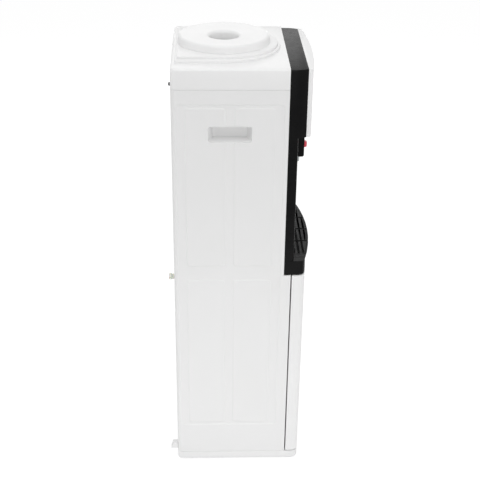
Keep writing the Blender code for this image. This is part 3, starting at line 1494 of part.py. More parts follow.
def front_frame():
    """The one piece black moulding: band over the top, alcove jambs and tray housing."""
    rings = []
    for step in range(TAPER_STEPS + 1):
        y = Y_SIDE - BAND_DEPTH * step / TAPER_STEPS
        half = band_half_width(y)
        outline = rounded_outline([(-half, Z_RIM - FRAME_LEDGE, 0), (half, Z_RIM - FRAME_LEDGE, 0),
                                   (half, Z_BAND_TOP, BAND_ROUND), (-half, Z_BAND_TOP, BAND_ROUND)])
        rings.append(at_y(outline, y))
    piece = loft("front_frame", rings, black_plastic())
    hollow = []
    for y in (Y_SIDE + OVERRUN, Y_SIDE, (Y_SIDE + Y_BAND) / 2, Y_BAND, Y_BAND - OVERRUN):
        half = band_half_width(max(min(y, Y_SIDE), Y_BAND)) - BAND_SHELL
        outline = rectangle(-half, half, Z_HEAD + BAND_SHELL, Z_BAND_TOP - BAND_SHELL, BAND_ROUND)
        hollow.append(at_y(outline, y))
    subtract(piece, loft("cut_head_hollow", hollow))
    jamb_outer = band_half_width(Y_JAMB) - JAMB_LIP
    beyond = HALF_WIDTH + OVERRUN
    opening = rounded_outline([
        (-ALCOVE_HALF, Y_SIDE + OVERRUN, 0), (-ALCOVE_HALF, Y_JAMB, JAMB_ROUND),
        (-jamb_outer, Y_JAMB, JAMB_ROUND), (-jamb_outer, Y_JAMB + JAMB_ROUND + FINE_RADIUS, 0),
        (-beyond, Y_JAMB + JAMB_ROUND + FINE_RADIUS, 0), (-beyond, Y_BAND - OVERRUN, 0),
        (beyond, Y_BAND - OVERRUN, 0), (beyond, Y_JAMB + JAMB_ROUND + FINE_RADIUS, 0),
        (jamb_outer, Y_JAMB + JAMB_ROUND + FINE_RADIUS, 0), (jamb_outer, Y_JAMB, JAMB_ROUND),
        (ALCOVE_HALF, Y_JAMB, JAMB_ROUND), (ALCOVE_HALF, Y_SIDE + OVERRUN, 0),
    ])
    low = Z_RIM - FRAME_LEDGE - OVERRUN
    subtract(piece, loft("cut_alcove", [at_z(opening, low), at_z(opening, Z_HEAD)]))
    chamfered = []
    for inset, height in ((HOUSING_EDGE, Z_HOUSING), (0.0, Z_HOUSING + HOUSING_EDGE), (0.0, Z_RIM)):
        outline = bowed_outline(FRAME_HALF, Y_SIDE, Y_CREST, FRONT_BOW, FRONT_CORNER, inset=inset)
        chamfered.append(at_z(outline, height))
    unite(piece, loft("add_housing", chamfered))
    bay = rectangle(-ALCOVE_HALF, ALCOVE_HALF, Y_TRAY - OVERRUN, Y_SIDE + OVERRUN)
    subtract(
        piece, loft("cut_tray_bay", [at_z(bay, Z_HOUSING + HOUSING_FLOOR), at_z(bay, Z_RIM + OVERRUN)])
    )
    pin = circle(HINGE.x, HINGE.y, PIN_RADIUS + SEAM)
    subtract(
        piece,
        loft(
            "cut_top_pin",
            [at_z(pin, Z_HOUSING - OVERRUN), at_z(pin, Z_HOUSING + PIN_LENGTH / 2 + SEAM)],
        ),
    )


def alcove_liner():
    """The black recess behind the jambs, with a flange and rounded inner corners."""
    floor = Z_HOUSING + HOUSING_FLOOR
    back = Y_ALCOVE + ALCOVE_DEPTH
    mouth = (-ALCOVE_HALF, ALCOVE_HALF, floor, Z_HEAD)
    flange = (
        -ALCOVE_HALF - LINER_FLANGE,
        ALCOVE_HALF + LINER_FLANGE,
        Z_HOUSING + SEAM,
        Z_HEAD + LINER_TOP_FLANGE,
    )
    rings = cup_rings(
        mouth, FINE_RADIUS, LINER_WALL, ALCOVE_CORNER, Y_ALCOVE, back, flange, flat_floor=True
    )
    piece = loft("alcove_liner", rings, black_plastic())
    holes = [circle(x, TAP_Z, SHANK_RADIUS + SEAM, SMALL_STEPS) for x in (-TAP_SPREAD, TAP_SPREAD)]
    subtract(
        piece,
        lofts(
            "cut_shank_holes",
            [[at_y(hole, back - OVERRUN), at_y(hole, back + LINER_WALL + OVERRUN)] for hole in holes],
        ),
    )


def head_cover():
    """The white bowed cover of the head, hollow behind, with three lamp holes."""
    rear = Y_BAND - SEAM

    def outline(inset, rear_inset=0.0):
        half = HEAD_COVER_HALF
        return bowed_outline(
            half,
            rear,
            Y_CREST,
            FRONT_BOW * (half / HALF_WIDTH) ** 2,
            HEAD_COVER_ROUND,
            inset=inset,
            rear_inset=rear_inset,
        )

    rings = []
    for step in range(EDGE_STEPS + 1):
        angle = math.pi / 2 * step / EDGE_STEPS
        inset = HEAD_COVER_EDGE * (1 - math.sin(angle))
        rings.append(at_z(outline(inset), Z_HEAD + HEAD_COVER_EDGE * (1 - math.cos(angle))))
    for step in range(EDGE_STEPS + 1):
        angle = math.pi / 2 * step / EDGE_STEPS
        inset = HEAD_COVER_EDGE * (1 - math.cos(angle))
        rings.append(at_z(outline(inset), Z_BAND_TOP - HEAD_COVER_EDGE * (1 - math.sin(angle))))
    piece = loft("head_cover", rings, white_plastic())
    cavity = outline(HEAD_COVER_WALL, -OVERRUN)
    subtract(piece, loft("cut_head_cavity", [at_z(cavity, Z_HEAD + HEAD_COVER_WALL),
                                             at_z(cavity, Z_BAND_TOP - HEAD_COVER_WALL)]))
    holes = [circle(x, Z_TOP - LAMP_DROP, LAMP_RADIUS + SEAM, SMALL_STEPS) for x in lamp_places()]
    subtract(
        piece,
        lofts("cut_lamp_holes", [[at_y(hole, Y_CREST - OVERRUN), at_y(hole, rear)] for hole in holes]),
    )


def lamp_places():
    return [LAMP_PITCH * (index - (LAMPS - 1) / 2) for index in range(LAMPS)]


def indicator_strip():
    """One clear light guide: a bar behind the head cover with three round lenses."""
    outer = LAMP_PITCH * (LAMPS - 1) / 2
    inside = bow_y(outer, Y_CREST, FRONT_BOW, HALF_WIDTH) + HEAD_COVER_WALL + SEAM
    z = Z_TOP - LAMP_DROP
    bar = rectangle(-outer - LAMP_BAR, outer + LAMP_BAR, z - LAMP_BAR, z + LAMP_BAR, LAMP_BAR / 2)
    clear = material("clear_plastic", (0.75, 0.78, 0.80), 0.15, 0.0, 0.6)
    piece = loft("indicator_strip", [at_y(bar, inside), at_y(bar, inside + LAMP_BAR_THICK)], clear)
    lenses = []
    for x in lamp_places():
        front = bow_y(x, Y_CREST, FRONT_BOW, HALF_WIDTH)
        lens = circle(x, z, LAMP_RADIUS, SMALL_STEPS)
        small = circle(x, z, LAMP_RADIUS - FINE_RADIUS, SMALL_STEPS)
        lenses.append([at_y(small, front), at_y(lens, front + FINE_RADIUS), at_y(lens, inside + EMBED)])
    unite(piece, lofts("add_lenses", lenses))


def tap_plane():
    """Return the Y of the alcove's back wall and of the tap's upright axis."""
    wall = Y_ALCOVE + ALCOVE_DEPTH
    return wall, wall - VALVE_REACH


def tap_body(name, x):
    """A tap: shank through the wall, escutcheon, upright valve and the lever's pivot pin."""
    wall, axis_y = tap_plane()
    tail = wall + LINER_WALL + SHANK_TAIL
    plate = wall - SEAM
    shank = [(0, tail), (SHANK_RADIUS, tail), (SHANK_RADIUS, plate), (ESCUTCHEON, plate),
             (ESCUTCHEON, plate - ESCUTCHEON_THICK / 2), (
                 ESCUTCHEON - FOOT_EDGE, plate - ESCUTCHEON_THICK
             ),
             (SHANK_RADIUS, plate - ESCUTCHEON_THICK), (SHANK_RADIUS, axis_y), (0, axis_y)]
    piece = turn(name, shank, (x, 0, TAP_Z), black_plastic(), "Y", SMALL_STEPS)
    top = Z_HEAD - VALVE_TOP_GAP
    low = TAP_Z - VALVE_LOW
    valve = [
        (0, low),
        (VALVE_RADIUS, low),
        (VALVE_RADIUS, top - FOOT_EDGE),
        (VALVE_RADIUS - FOOT_EDGE, top),
        (0, top),
    ]
    unite(piece, turn("add_valve_" + name, valve, (x, axis_y, 0)))
    pin = circle(axis_y, Z_HEAD - PIVOT_DROP, PIVOT_RADIUS, SMALL_STEPS)
    reach = LEVER_WIDTH / 2
    unite(piece, loft("add_pivot_" + name, [at_x(pin, x - reach), at_x(pin, x + reach)]))


def nozzle(name, x):
    """The pale spout under a valve, tapered at its tip and bored through."""
    axis_y = tap_plane()[1]
    top = TAP_Z - VALVE_LOW - SEAM
    tip = top - NOZZLE_LENGTH
    profile = [
        (NOZZLE_BORE, tip),
        (NOZZLE_TIP, tip),
        (NOZZLE_RADIUS, tip + NOZZLE_TAPER),
        (NOZZLE_RADIUS, top),
        (NOZZLE_BORE, top),
    ]
    clear = material("spout_plastic", (0.78, 0.79, 0.79), 0.35)
    turn(name, profile, (x, axis_y, 0), clear)


def tap_lever(name, x):
    """The sprung paddle: a front plate between two cheeks that hang on the pivot pin."""
    axis_y = tap_plane()[1]
    pivot_z = Z_HEAD - PIVOT_DROP
    front = axis_y - LEVER_REACH
    back = front + LEVER_DEPTH
    low = pivot_z - LEVER_LENGTH
    high = pivot_z + LEVER_HEADROOM
    half = LEVER_WIDTH / 2
    cheek = rounded_outline([
        (front, low, LEVER_ROUND), (back, low, LEVER_ROUND / 2), (
            back, pivot_z - LEVER_DEPTH, LEVER_ROUND
        ),
        (axis_y + PIVOT_BOSS, pivot_z - PIVOT_BOSS, LEVER_ROUND / 2), (
            axis_y + PIVOT_BOSS, pivot_z + PIVOT_BOSS, LEVER_ROUND
        ),
        (front, high, LEVER_ROUND),
    ])
    piece = loft(name, [at_x(cheek, x - half), at_x(cheek, x + half)], black_plastic())
    inner = half - LEVER_WALL
    gap = rectangle(front + LEVER_WALL, axis_y + OVERRUN, low - OVERRUN, high + OVERRUN)
    subtract(piece, loft("cut_cheeks_" + name, [at_x(gap, x - inner), at_x(gap, x + inner)]))
    hole = circle(axis_y, pivot_z, PIVOT_RADIUS + SEAM, SMALL_STEPS)
    subtract(
        piece,
        loft("cut_pivot_" + name, [at_x(hole, x - half - OVERRUN), at_x(hole, x + half + OVERRUN)]),
    )
    window = button_span(x, SEAM)
    subtract(
        piece,
        loft(
            "cut_window_" + name,
            [at_y(window, front - OVERRUN), at_y(window, front + LEVER_WALL + EMBED)],
        ),
    )
    return piece


def button_span(x, grow):
    """Return the outline of the lever's button, or of its window when grown."""
    z = Z_HEAD - PIVOT_DROP - BUTTON_DROP
    span = (x - BUTTON_WIDTH / 2, x + BUTTON_WIDTH / 2, z - BUTTON_HEIGHT / 2, z + BUTTON_HEIGHT / 2)
    return rectangle(*grown(span, grow), BUTTON_EDGE)


def lever_button(name, x, colour):
    """The coloured button in a lever: a domed cap through the plate, flanged behind it."""
    front = tap_plane()[1] - LEVER_REACH
    flange = front + LEVER_WALL + SEAM
    rings = [
        at_y(button_span(x, BUTTON_FLANGE), flange + BUTTON_FLANGE_THICK),
        at_y(button_span(x, BUTTON_FLANGE), flange),
        at_y(button_span(x, 0.0), flange),
        at_y(button_span(x, 0.0), front - BUTTON_PROUD + BUTTON_EDGE),
        at_y(button_span(x, -BUTTON_EDGE / 2), front - BUTTON_PROUD),
    ]
    return loft(name, rings, material(name, colour, 0.35))


def taps():
    """Both taps with their levers: heating on the left, cooling on the right."""
    axis_y = tap_plane()[1]
    pivot_z = Z_HEAD - PIVOT_DROP
    sides = (("hot", -TAP_SPREAD, "child_lock_button", (0.70, 0.05, 0.08)),
             ("cold", TAP_SPREAD, "cold_marker", (0.03, 0.16, 0.60)))
    for side, x, button_name, colour in sides:
        tap_body("tap_body_" + side, x)
        nozzle("nozzle_" + side, x)
        lever = tap_lever("tap_lever_" + side, x)
        button = lever_button(button_name, x, colour)
        carrier = hang_on_axis(side + "_lever_axis", (x, axis_y, pivot_z), lever)
        button_y = axis_y - LEVER_REACH
        hang_on_axis(
            button_name + "_axis", (x, button_y, pivot_z - BUTTON_DROP), button, carrier=carrier
        )


def tray_outline(inset, end_inset):
    """Return the drip tray's plan: square at the back, bowed at the front."""
    half = TRAY_HALF - end_inset
    back = Y_TRAY + TRAY_BACK + TRAY_BOW - inset
    corner = max(TRAY_CORNER - inset, FINE_RADIUS)
    corners = [(half, back, corner), (-half, back, corner)]
    for step in range(BOW_STEPS + 1):
        x = half * (2 * step / BOW_STEPS - 1)
        end_round = corner if step in (0, BOW_STEPS) else 0.0
        corners.append((x, bow_y(x, Y_TRAY, TRAY_BOW, TRAY_HALF) + inset, end_round))
    return rounded_outline(corners)


def drip_tray():
    """The half moon tray: a basin under a lip, with a ledge that carries the grille."""
    low = Z_HOUSING + HOUSING_FLOOR + SLIDE_FIT
    top = Z_RIM
    ledge = top - GRILLE_THICK - SEAM
    basin = TRAY_END_LIP - GRILLE_LEDGE
    rings = [
        at_z(tray_outline(TRAY_WALL + TRAY_DRAFT, basin + TRAY_DRAFT), low),
        at_z(tray_outline(TRAY_WALL / 2, basin), ledge - TRAY_LIP),
        at_z(tray_outline(0.0, 0.0), top - TRAY_LIP),
        at_z(tray_outline(0.0, 0.0), top - FINE_RADIUS),
        at_z(tray_outline(FINE_RADIUS, FINE_RADIUS), top),
        at_z(tray_outline(TRAY_LIP, TRAY_END_LIP), top),
        at_z(tray_outline(TRAY_LIP, TRAY_END_LIP), ledge),
        at_z(tray_outline(TRAY_LIP + GRILLE_LEDGE, TRAY_END_LIP + GRILLE_LEDGE), ledge),
        at_z(
            tray_outline(
                TRAY_LIP + GRILLE_LEDGE + TRAY_DRAFT, TRAY_END_LIP + GRILLE_LEDGE + TRAY_DRAFT
            ),
            low + TRAY_WALL,
        ),
    ]
    return loft("drip_tray", rings, black_plastic())


def drip_grille():
    """The lift-out grille: bars along the width, broken by grooved cross ribs."""
    inset = TRAY_LIP + GRILLE_FIT
    end_inset = TRAY_END_LIP + GRILLE_FIT
    outline = tray_outline(inset, end_inset)
    low = Z_RIM - GRILLE_THICK
    piece = loft("drip_grille", [at_z(outline, low), at_z(outline, Z_RIM)], black_plastic())
    half = TRAY_HALF - end_inset - GRILLE_RIM
    cell = 2 * half / GRILLE_CELLS
    pitch = SLOT_WIDTH + BAR_WIDTH
    back = Y_TRAY + TRAY_BACK + TRAY_BOW - inset - GRILLE_RIM
    rows = int((back - Y_TRAY - inset - GRILLE_RIM) / pitch)
    slots = []
    for row in range(rows):
        high = back - pitch * row
        front = high - SLOT_WIDTH
        limit = bow_half_width(front - inset - GRILLE_RIM, Y_TRAY, TRAY_BOW, TRAY_HALF)
        for index in range(GRILLE_CELLS):
            left = max(-half + cell * index + (CROSS_RIB / 2 if index else 0), -limit)
            right = min(
                -half + cell * (index + 1) - (CROSS_RIB / 2 if index < GRILLE_CELLS - 1 else 0), limit
            )
            if right - left > SLOT_SHORTEST:
                slot = rectangle(left, right, front, high)
                slots.append([at_z(slot, low - OVERRUN), at_z(slot, Z_RIM + OVERRUN)])
    subtract(piece, lofts("cut_slots", slots))
    grooves = []
    for index in range(1, GRILLE_CELLS):
        x = -half + cell * index
        groove = rectangle(x - CROSS_GROOVE / 2, x + CROSS_GROOVE / 2, Y_TRAY - OVERRUN, back + OVERRUN)
        grooves.append([at_z(groove, Z_RIM - GRILLE_THICK / 2), at_z(groove, Z_RIM + OVERRUN)])
    subtract(piece, lofts("cut_grooves", grooves))
    return piece


def door():
    """The bowed cabinet door: shell, back sheet and catch plate, hung at its front corner."""
    def outline(inset):
        side = HALF_WIDTH - inset
        corners = [
            (side, Y_DOOR_BACK - inset, FRONT_CORNER - inset), (-side, Y_DOOR_BACK - inset, FINE_RADIUS)
        ]
        for step in range(BOW_STEPS + 1):
            x = side * (2 * step / BOW_STEPS - 1)
            end_round = FRONT_CORNER - inset if step in (0, BOW_STEPS) else 0.0
            corners.append((x, bow_y(x, Y_CREST, FRONT_BOW, HALF_WIDTH) + inset, end_round))
        return rounded_outline(corners)

    rings = [at_z(outline(DOOR_EDGE), Z_DOOR_LOW), at_z(outline(0.0), Z_DOOR_LOW + DOOR_EDGE),
             at_z(outline(0.0), Z_DOOR_TOP - DOOR_EDGE), at_z(outline(DOOR_EDGE), Z_DOOR_TOP)]
    shell = loft("door_shell", rings, white_plastic())
    left = -HALF_WIDTH + DOOR_WALL
    right = HINGE.x - DOOR_BARREL
    corners = [(right, Y_DOOR_BACK + OVERRUN, 0), (left, Y_DOOR_BACK + OVERRUN, 0)]
    for step in range(BOW_STEPS + 1):
        x = left + (right - left) * step / BOW_STEPS
        end_round = FRONT_CORNER - DOOR_WALL if step == 0 else 0.0
        corners.append((x, bow_y(x, Y_CREST, FRONT_BOW, HALF_WIDTH) + DOOR_WALL, end_round))
    cavity = rounded_outline(corners)
    low = Z_DOOR_LOW + DOOR_WALL
    high = Z_DOOR_TOP - DOOR_WALL
    subtract(shell, loft("cut_door_cavity", [at_z(cavity, low), at_z(cavity, high)]))
    pintle = circle(HINGE.x, HINGE.y, PINTLE_RADIUS + PIN_FIT)
    pin = circle(HINGE.x, HINGE.y, PIN_RADIUS + PIN_FIT)
    subtract(shell, lofts("cut_hinge_holes", [
        [at_z(pintle, Z_DOOR_LOW - OVERRUN), at_z(pintle, Z_PLINTH + PINTLE_HEIGHT + SLIDE_FIT)],
        [at_z(pin, Z_HOUSING - PIN_LENGTH / 2 - SLIDE_FIT), at_z(pin, Z_DOOR_TOP + OVERRUN)],
    ]))
    span = (left + SEAM, right - SEAM, low + SEAM, high - SEAM)
    front = Y_DOOR_BACK - DOOR_BACK_SHEET
    sheet = rectangle(*span)
    back = loft("door_back_sheet", [at_y(sheet, front), at_y(sheet, Y_DOOR_BACK)], white_plastic())
    recess = rectangle(*grown(span, -PANEL_BEAD_INSET), PANEL_BEAD_INSET / 2)
    subtract(
        back,
        loft(
            "cut_sheet_recess",
            [at_y(recess, Y_DOOR_BACK - PANEL_BEAD), at_y(recess, Y_DOOR_BACK + OVERRUN)],
        ),
    )
    return shell, back


def door_pin():
    """The steel pin that hangs the door's top from the tray housing."""
    low = Z_HOUSING - PIN_LENGTH / 2
    profile = [(0, low), (PIN_RADIUS - FINE_RADIUS, low), (PIN_RADIUS, low + FINE_RADIUS),
               (PIN_RADIUS, low + PIN_LENGTH), (0, low + PIN_LENGTH)]
    turn("door_hinge_pin", profile, (HINGE.x, HINGE.y, 0), steel(), steps=SMALL_STEPS)


def liner_span():
    """Return the cabinet liner's mouth as (x, x, z, z)."""
    reach = HALF_WIDTH - CABINET_LINER_SIDE
    high = deck_bottom() - CABINET_LINER_WALL - SEAM
    return -reach, reach, Z_PLINTH + CABINET_LINER_RISE + CABINET_LINER_WALL, high


def deck_bottom():
    return Z_HOUSING - SEAM - DECK_SHEET


def cabinet_liner():
    """The storage box: an open shell with rounded inner corners and a front flange."""
    front = Y_PANEL + PANEL_WALL + SEAM
    back = Y_BACK - CABINET_LINER_BACK
    reach = HALF_WIDTH - PANEL_WALL - SEAM
    flange = (-reach, reach, Z_PLINTH + SEAM, deck_bottom() - SEAM)
    corner = CABINET_LINER_CORNER
    rings = cup_rings(liner_span(), corner, CABINET_LINER_WALL, corner, front, back, flange)
    loft("cabinet_liner", rings, white_plastic())


def catch():
    """The magnetic catch: magnet under the cabinet's top edge, plate on the door's back."""
    mouth = liner_span()
    high = mouth[3] - SEAM
    middle = -CATCH_SPREAD
    span = (middle - CATCH_WIDTH / 2, middle + CATCH_WIDTH / 2, high - CATCH_HEIGHT, high)
    seat = Y_DOOR_BACK + SEAM
    face = seat + CATCH_PLATE
    outline = rectangle(*span, DECK_EDGE / 2)
    dark = material("magnet", (0.06, 0.06, 0.06), 0.5)
    loft("catch_magnet", [at_y(outline, face + SEAM), at_y(outline, face + CATCH_DEPTH)], dark)
    top = high - CATCH_MARGIN
    plate = rectangle(span[0], span[1], top - CATCH_HEIGHT, top, FINE_RADIUS)
    return loft("catch_plate", [at_y(plate, seat), at_y(plate, seat + CATCH_PLATE)], steel())


def deck():
    """The steel deck over the cabinet that carries the hot tank."""
    front = Y_SIDE + SEAM + DECK_EDGE
    folded_shelf(
        "machine_deck", Z_HOUSING - SEAM, front, Y_BACK - DECK_BACK, DECK_SHEET, DECK_FLANGE, steel()
    )


def build():
    """Make every piece of the cooler."""
    for leftover in list(bpy.data.objects):
        bpy.data.objects.remove(leftover, do_unlink=True)
    base()
    feet()
    for name, side in (("left", -1), ("right", 1)):
        side_panel("side_panel_" + name, side)
        hand_grip("hand_grip_" + name, side)
    back_panel()
    rear_spacer()
    cover_screws()
    top_cover()
    hang_on_axis("seat_lift_axis", (0, SEAT_Y, Z_SEAT), bottle_seat(), bottle_probe())
    cold_tank()
    tank_lid()
    tank_jacket()
    tank_shelf()
    cooling_unit()
    hot_tank()
    heater_band()
    hot_jacket()
    water_tubes()
    drain()
    switches()
    mains_gland()
    front_frame()
    alcove_liner()
    head_cover()
    indicator_strip()
    taps()
    tray_axis = hang_on_axis("tray_slide_axis", (0, Y_TRAY, Z_RIM), drip_tray())
    hang_on_axis("grille_lift_axis", (0, Y_TRAY, Z_RIM), drip_grille(), carrier=tray_axis)
    hang_on_axis("door_hinge_axis", (HINGE.x, HINGE.y, Z_PLINTH), *door(), catch())
    door_pin()
    cabinet_liner()
    deck()


build()
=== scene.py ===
"""Looks of the top load water cooler: finishes, small trim, studio and camera."""

import math

import bmesh
import bpy
from mathutils import Matrix, Vector
from mathutils.geometry import tessellate_polygon


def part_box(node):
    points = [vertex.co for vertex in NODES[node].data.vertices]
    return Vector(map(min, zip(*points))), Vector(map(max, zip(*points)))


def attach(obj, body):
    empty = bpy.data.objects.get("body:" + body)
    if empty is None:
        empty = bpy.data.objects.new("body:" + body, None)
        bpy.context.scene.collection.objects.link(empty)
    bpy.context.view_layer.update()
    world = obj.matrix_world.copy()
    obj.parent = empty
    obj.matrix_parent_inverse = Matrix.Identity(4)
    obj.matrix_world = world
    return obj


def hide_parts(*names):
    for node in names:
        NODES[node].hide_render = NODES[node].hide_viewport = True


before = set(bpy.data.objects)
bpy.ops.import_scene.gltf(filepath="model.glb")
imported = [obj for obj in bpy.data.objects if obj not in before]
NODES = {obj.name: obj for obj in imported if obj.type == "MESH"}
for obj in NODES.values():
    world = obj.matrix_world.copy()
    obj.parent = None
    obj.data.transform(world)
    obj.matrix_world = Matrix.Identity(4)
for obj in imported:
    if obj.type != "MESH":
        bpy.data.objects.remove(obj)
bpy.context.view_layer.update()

# Camera fitted to the photograph's edges
IMAGE_SIDE = 480
SENSOR = 36.0
FOCAL_PIXELS = 995.35
CAMERA_PLACE = (-2.0021, 0.0615, 1.5387)
CAMERA_RIGHT = (-0.02755, -0.99957, 0.01042)
CAMERA_DOWN = (-0.46012, 0.00343, -0.88785)
CAMERA_AHEAD = (0.88743, -0.02925, -0.46001)

# Studio
WORLD_LIGHT = 0.60
FLOOR_SIZE = 60.0
FLOOR_COLOUR = (0.82, 0.82, 0.82, 1.0)
FLOOR_GLOW = 0.80
FLOOR_SHADE = 0.30

# Each softbox's name, place, target, width, height and watts
SOFTBOXES = (
    ("far_softbox", (2.6, 0.2, 2.3), (0.0, 0.0, 0.9), 1.4, 1.2, 5.5),
    ("key_softbox", (-3.4, -0.2, 1.5), (0.0, 0.0, 0.5), 1.6, 1.6, 14.5),
    ("front_softbox", (-0.6, -3.0, 1.4), (0.0, 0.0, 0.5), 2.0, 1.8, 14),
    ("rear_softbox", (-0.4, 3.0, 1.6), (0.0, 0.0, 0.5), 2.0, 1.8, 8),
    ("low_softbox", (-0.8, 0.0, 0.12), (0.0, 0.0, 0.16), 1.8, 0.15, 1.4),
    ("right_softbox", (3.0, -0.2, 0.55), (0.0, 0.0, 0.5), 1.8, 0.7, 13),
    ("top_softbox", (-0.7, 0.2, 3.1), (0.0, 0.0, 0.9), 1.8, 1.8, 21.5),
)

# Angles over which an edge is rounded, on plain pieces and on pressed panels, and what counts as flat
SHARP = math.radians(30)
PRESSED = math.radians(12)
FLAT = math.radians(0.4)
WELD = 0.000004


class Look:
    """A Principled material whose textures are laid out in metres on the object."""

    def __init__(self, name, colour, roughness, **sockets):
        self.material = bpy.data.materials.new(name)
        self.material.use_nodes = True
        self.nodes = self.material.node_tree.nodes
        self.links = self.material.node_tree.links
        self.shader = self.nodes["Principled BSDF"]
        self.colour = (*colour, 1.0)
        self.shader.inputs["Base Color"].default_value = self.colour
        self.shader.inputs["Roughness"].default_value = roughness
        for socket, value in sockets.items():
            self.shader.inputs[socket.replace("_", " ")].default_value = value
        self.place = self.nodes.new("ShaderNodeTexCoord").outputs["Object"]
        self.height = None

    def stretched(self, scale):
        """Return the object's coordinates scaled along each axis."""
        mapping = self.nodes.new("ShaderNodeMapping")
        mapping.inputs["Scale"].default_value = scale
        self.links.new(self.place, mapping.inputs["Vector"])
        return mapping.outputs["Vector"]

    def noise(self, scale, detail=2.0, stretch=None):
        """Return the factor of a noise of this many waves per metre."""
        texture = self.nodes.new("ShaderNodeTexNoise")
        texture.inputs["Scale"].default_value = scale
        texture.inputs["Detail"].default_value = detail
        self.links.new(self.stretched(stretch) if stretch else self.place, texture.inputs["Vector"])
        return texture.outputs["Fac"]

    def cells(self, scale, feature="F1"):
        """Return the distance output of a cell pattern of this many cells per metre."""
        texture = self.nodes.new("ShaderNodeTexVoronoi")
        texture.feature = feature
        texture.inputs["Scale"].default_value = scale
        self.links.new(self.place, texture.inputs["Vector"])
        return texture.outputs["Distance"]

    def spread(self, factor, low, high, start=0.3, end=0.7):
        """Return a factor spread from low to high between start and end."""
        ramp = self.nodes.new("ShaderNodeMapRange")
        for socket, value in zip(("From Min", "From Max", "To Min", "To Max"), (start, end, low, high)):
            ramp.inputs[socket].default_value = value
        self.links.new(factor, ramp.inputs["Value"])
        return ramp.outputs["Result"]

    def vary_colour(self, factor, other, start=0.3, end=0.7):
        """Blend the base colour into another one where the factor is high."""
        mix = self.nodes.new("ShaderNodeMix")
        mix.data_type = "RGBA"
        mix.inputs["A"].default_value = self.colour
        mix.inputs["B"].default_value = (*other, 1.0)
        self.links.new(self.spread(factor, 0.0, 1.0, start, end), mix.inputs["Factor"])
        self.links.new(mix.outputs["Result"], self.shader.inputs["Base Color"])
        return self

    def vary_roughness(self, factor, low, high, start=0.3, end=0.7):
        """Let the roughness wander between two values."""
        self.links.new(self.spread(factor, low, high, start, end), self.shader.inputs["Roughness"])
        return self

    def raise_by(self, factor, depth, strength=1.0):
        """Add a bump of this depth in metres on top of the earlier ones."""
        bump = self.nodes.new("ShaderNodeBump")
        bump.inputs["Strength"].default_value = strength
        bump.inputs["Distance"].default_value = depth
        self.links.new(factor, bump.inputs["Height"])
        if self.height:
            self.links.new(self.height, bump.inputs["Normal"])
        self.height = bump.outputs["Normal"]
        self.links.new(self.height, self.shader.inputs["Normal"])
        return self


def white_moulding():
    look = Look("white_moulding", (0.80, 0.80, 0.80), 0.34, Specular_IOR_Level=0.35)
    look.vary_colour(look.noise(9), (0.79, 0.79, 0.788))
    look.vary_roughness(look.noise(45, 4), 0.3, 0.4)
    look.raise_by(look.noise(24), 0.0001)
    return look.raise_by(look.noise(1500, 1), 0.000006)


def white_sheet():
    look = Look("white_sheet", (0.78, 0.78, 0.78), 0.4, Specular_IOR_Level=0.35)
    look.vary_colour(look.noise(6), (0.77, 0.77, 0.768))
    look.vary_roughness(look.noise(30, 4), 0.36, 0.46)
    look.raise_by(look.noise(12), 0.0002)
    return look.raise_by(look.noise(620, 2), 0.000014)


def black_moulding():
    look = Look("black_moulding", (0.0026, 0.0026, 0.0029), 0.27, Specular_IOR_Level=0.07)
    look.vary_colour(look.noise(22, 4), (0.0048, 0.0048, 0.0048))
    look.vary_roughness(look.noise(60, 5), 0.24, 0.32)
    look.raise_by(look.noise(20), 0.00008)
    return look.raise_by(look.noise(2200, 1), 0.000003)


def black_matt():
    look = Look("black_matt", (0.0048, 0.0048, 0.0053), 0.42, Specular_IOR_Level=0.12)
    look.vary_colour(look.noise(35, 4), (0.0085, 0.0085, 0.0085))
    look.vary_roughness(look.cells(180), 0.34, 0.48, 0.1, 0.6)
    return look.raise_by(look.noise(1700, 2), 0.00002)


def grey_moulding():
    look = Look("grey_moulding", (0.42, 0.43, 0.44), 0.5)
    look.vary_colour(look.noise(30, 3), (0.38, 0.39, 0.40))
    return look.raise_by(look.noise(900, 2), 0.00003)


def coloured_moulding(name, colour, dark):
    look = Look(name, colour, 0.3, Coat_Weight=0.3, Coat_Roughness=0.1)
    look.vary_colour(look.noise(160, 3), dark)
    look.vary_roughness(look.noise(300, 3), 0.24, 0.38)
    return look.raise_by(look.noise(1800, 1), 0.00001)


def bare_steel():
    look = Look("bare_steel", (0.60, 0.60, 0.61), 0.3, Metallic=1.0)
    drawn = look.noise(30, 3, (1, 1, 40))
    look.vary_colour(drawn, (0.50, 0.50, 0.51))
    look.vary_roughness(look.noise(40, 4), 0.24, 0.4)
    return look.raise_by(drawn, 0.00002)


def dark_screw():
    look = Look("dark_screw", (0.09, 0.09, 0.095), 0.38, Metallic=1.0)
    look.vary_colour(look.noise(700, 3), (0.05, 0.05, 0.052))
    return look.raise_by(look.noise(2500, 2), 0.00002)


def extruded_aluminium():
    look = Look("extruded_aluminium", (0.70, 0.71, 0.72), 0.4, Metallic=1.0)
    drawn = look.noise(60, 2, (20, 1, 1))
    look.vary_roughness(drawn, 0.32, 0.48)
    return look.raise_by(drawn, 0.00002)


def beaded_foam():
    look = Look("beaded_foam", (0.86, 0.86, 0.84), 0.85)
    beads = look.cells(260)
    look.vary_colour(beads, (0.76, 0.76, 0.73), 0.4, 0.8)
    return look.raise_by(look.spread(beads, 1.0, 0.0, 0.0, 0.8), 0.0005)


def clear_silicone():
    look = Look(
        "clear_silicone", (0.91, 0.92, 0.84), 0.38,
        Transmission_Weight=0.25, IOR=1.41, Subsurface_Weight=0.2, Subsurface_Scale=0.004,
    )
    look.vary_colour(look.noise(250, 3), (0.86, 0.87, 0.76))
    return look.raise_by(look.noise(900, 2), 0.00004)


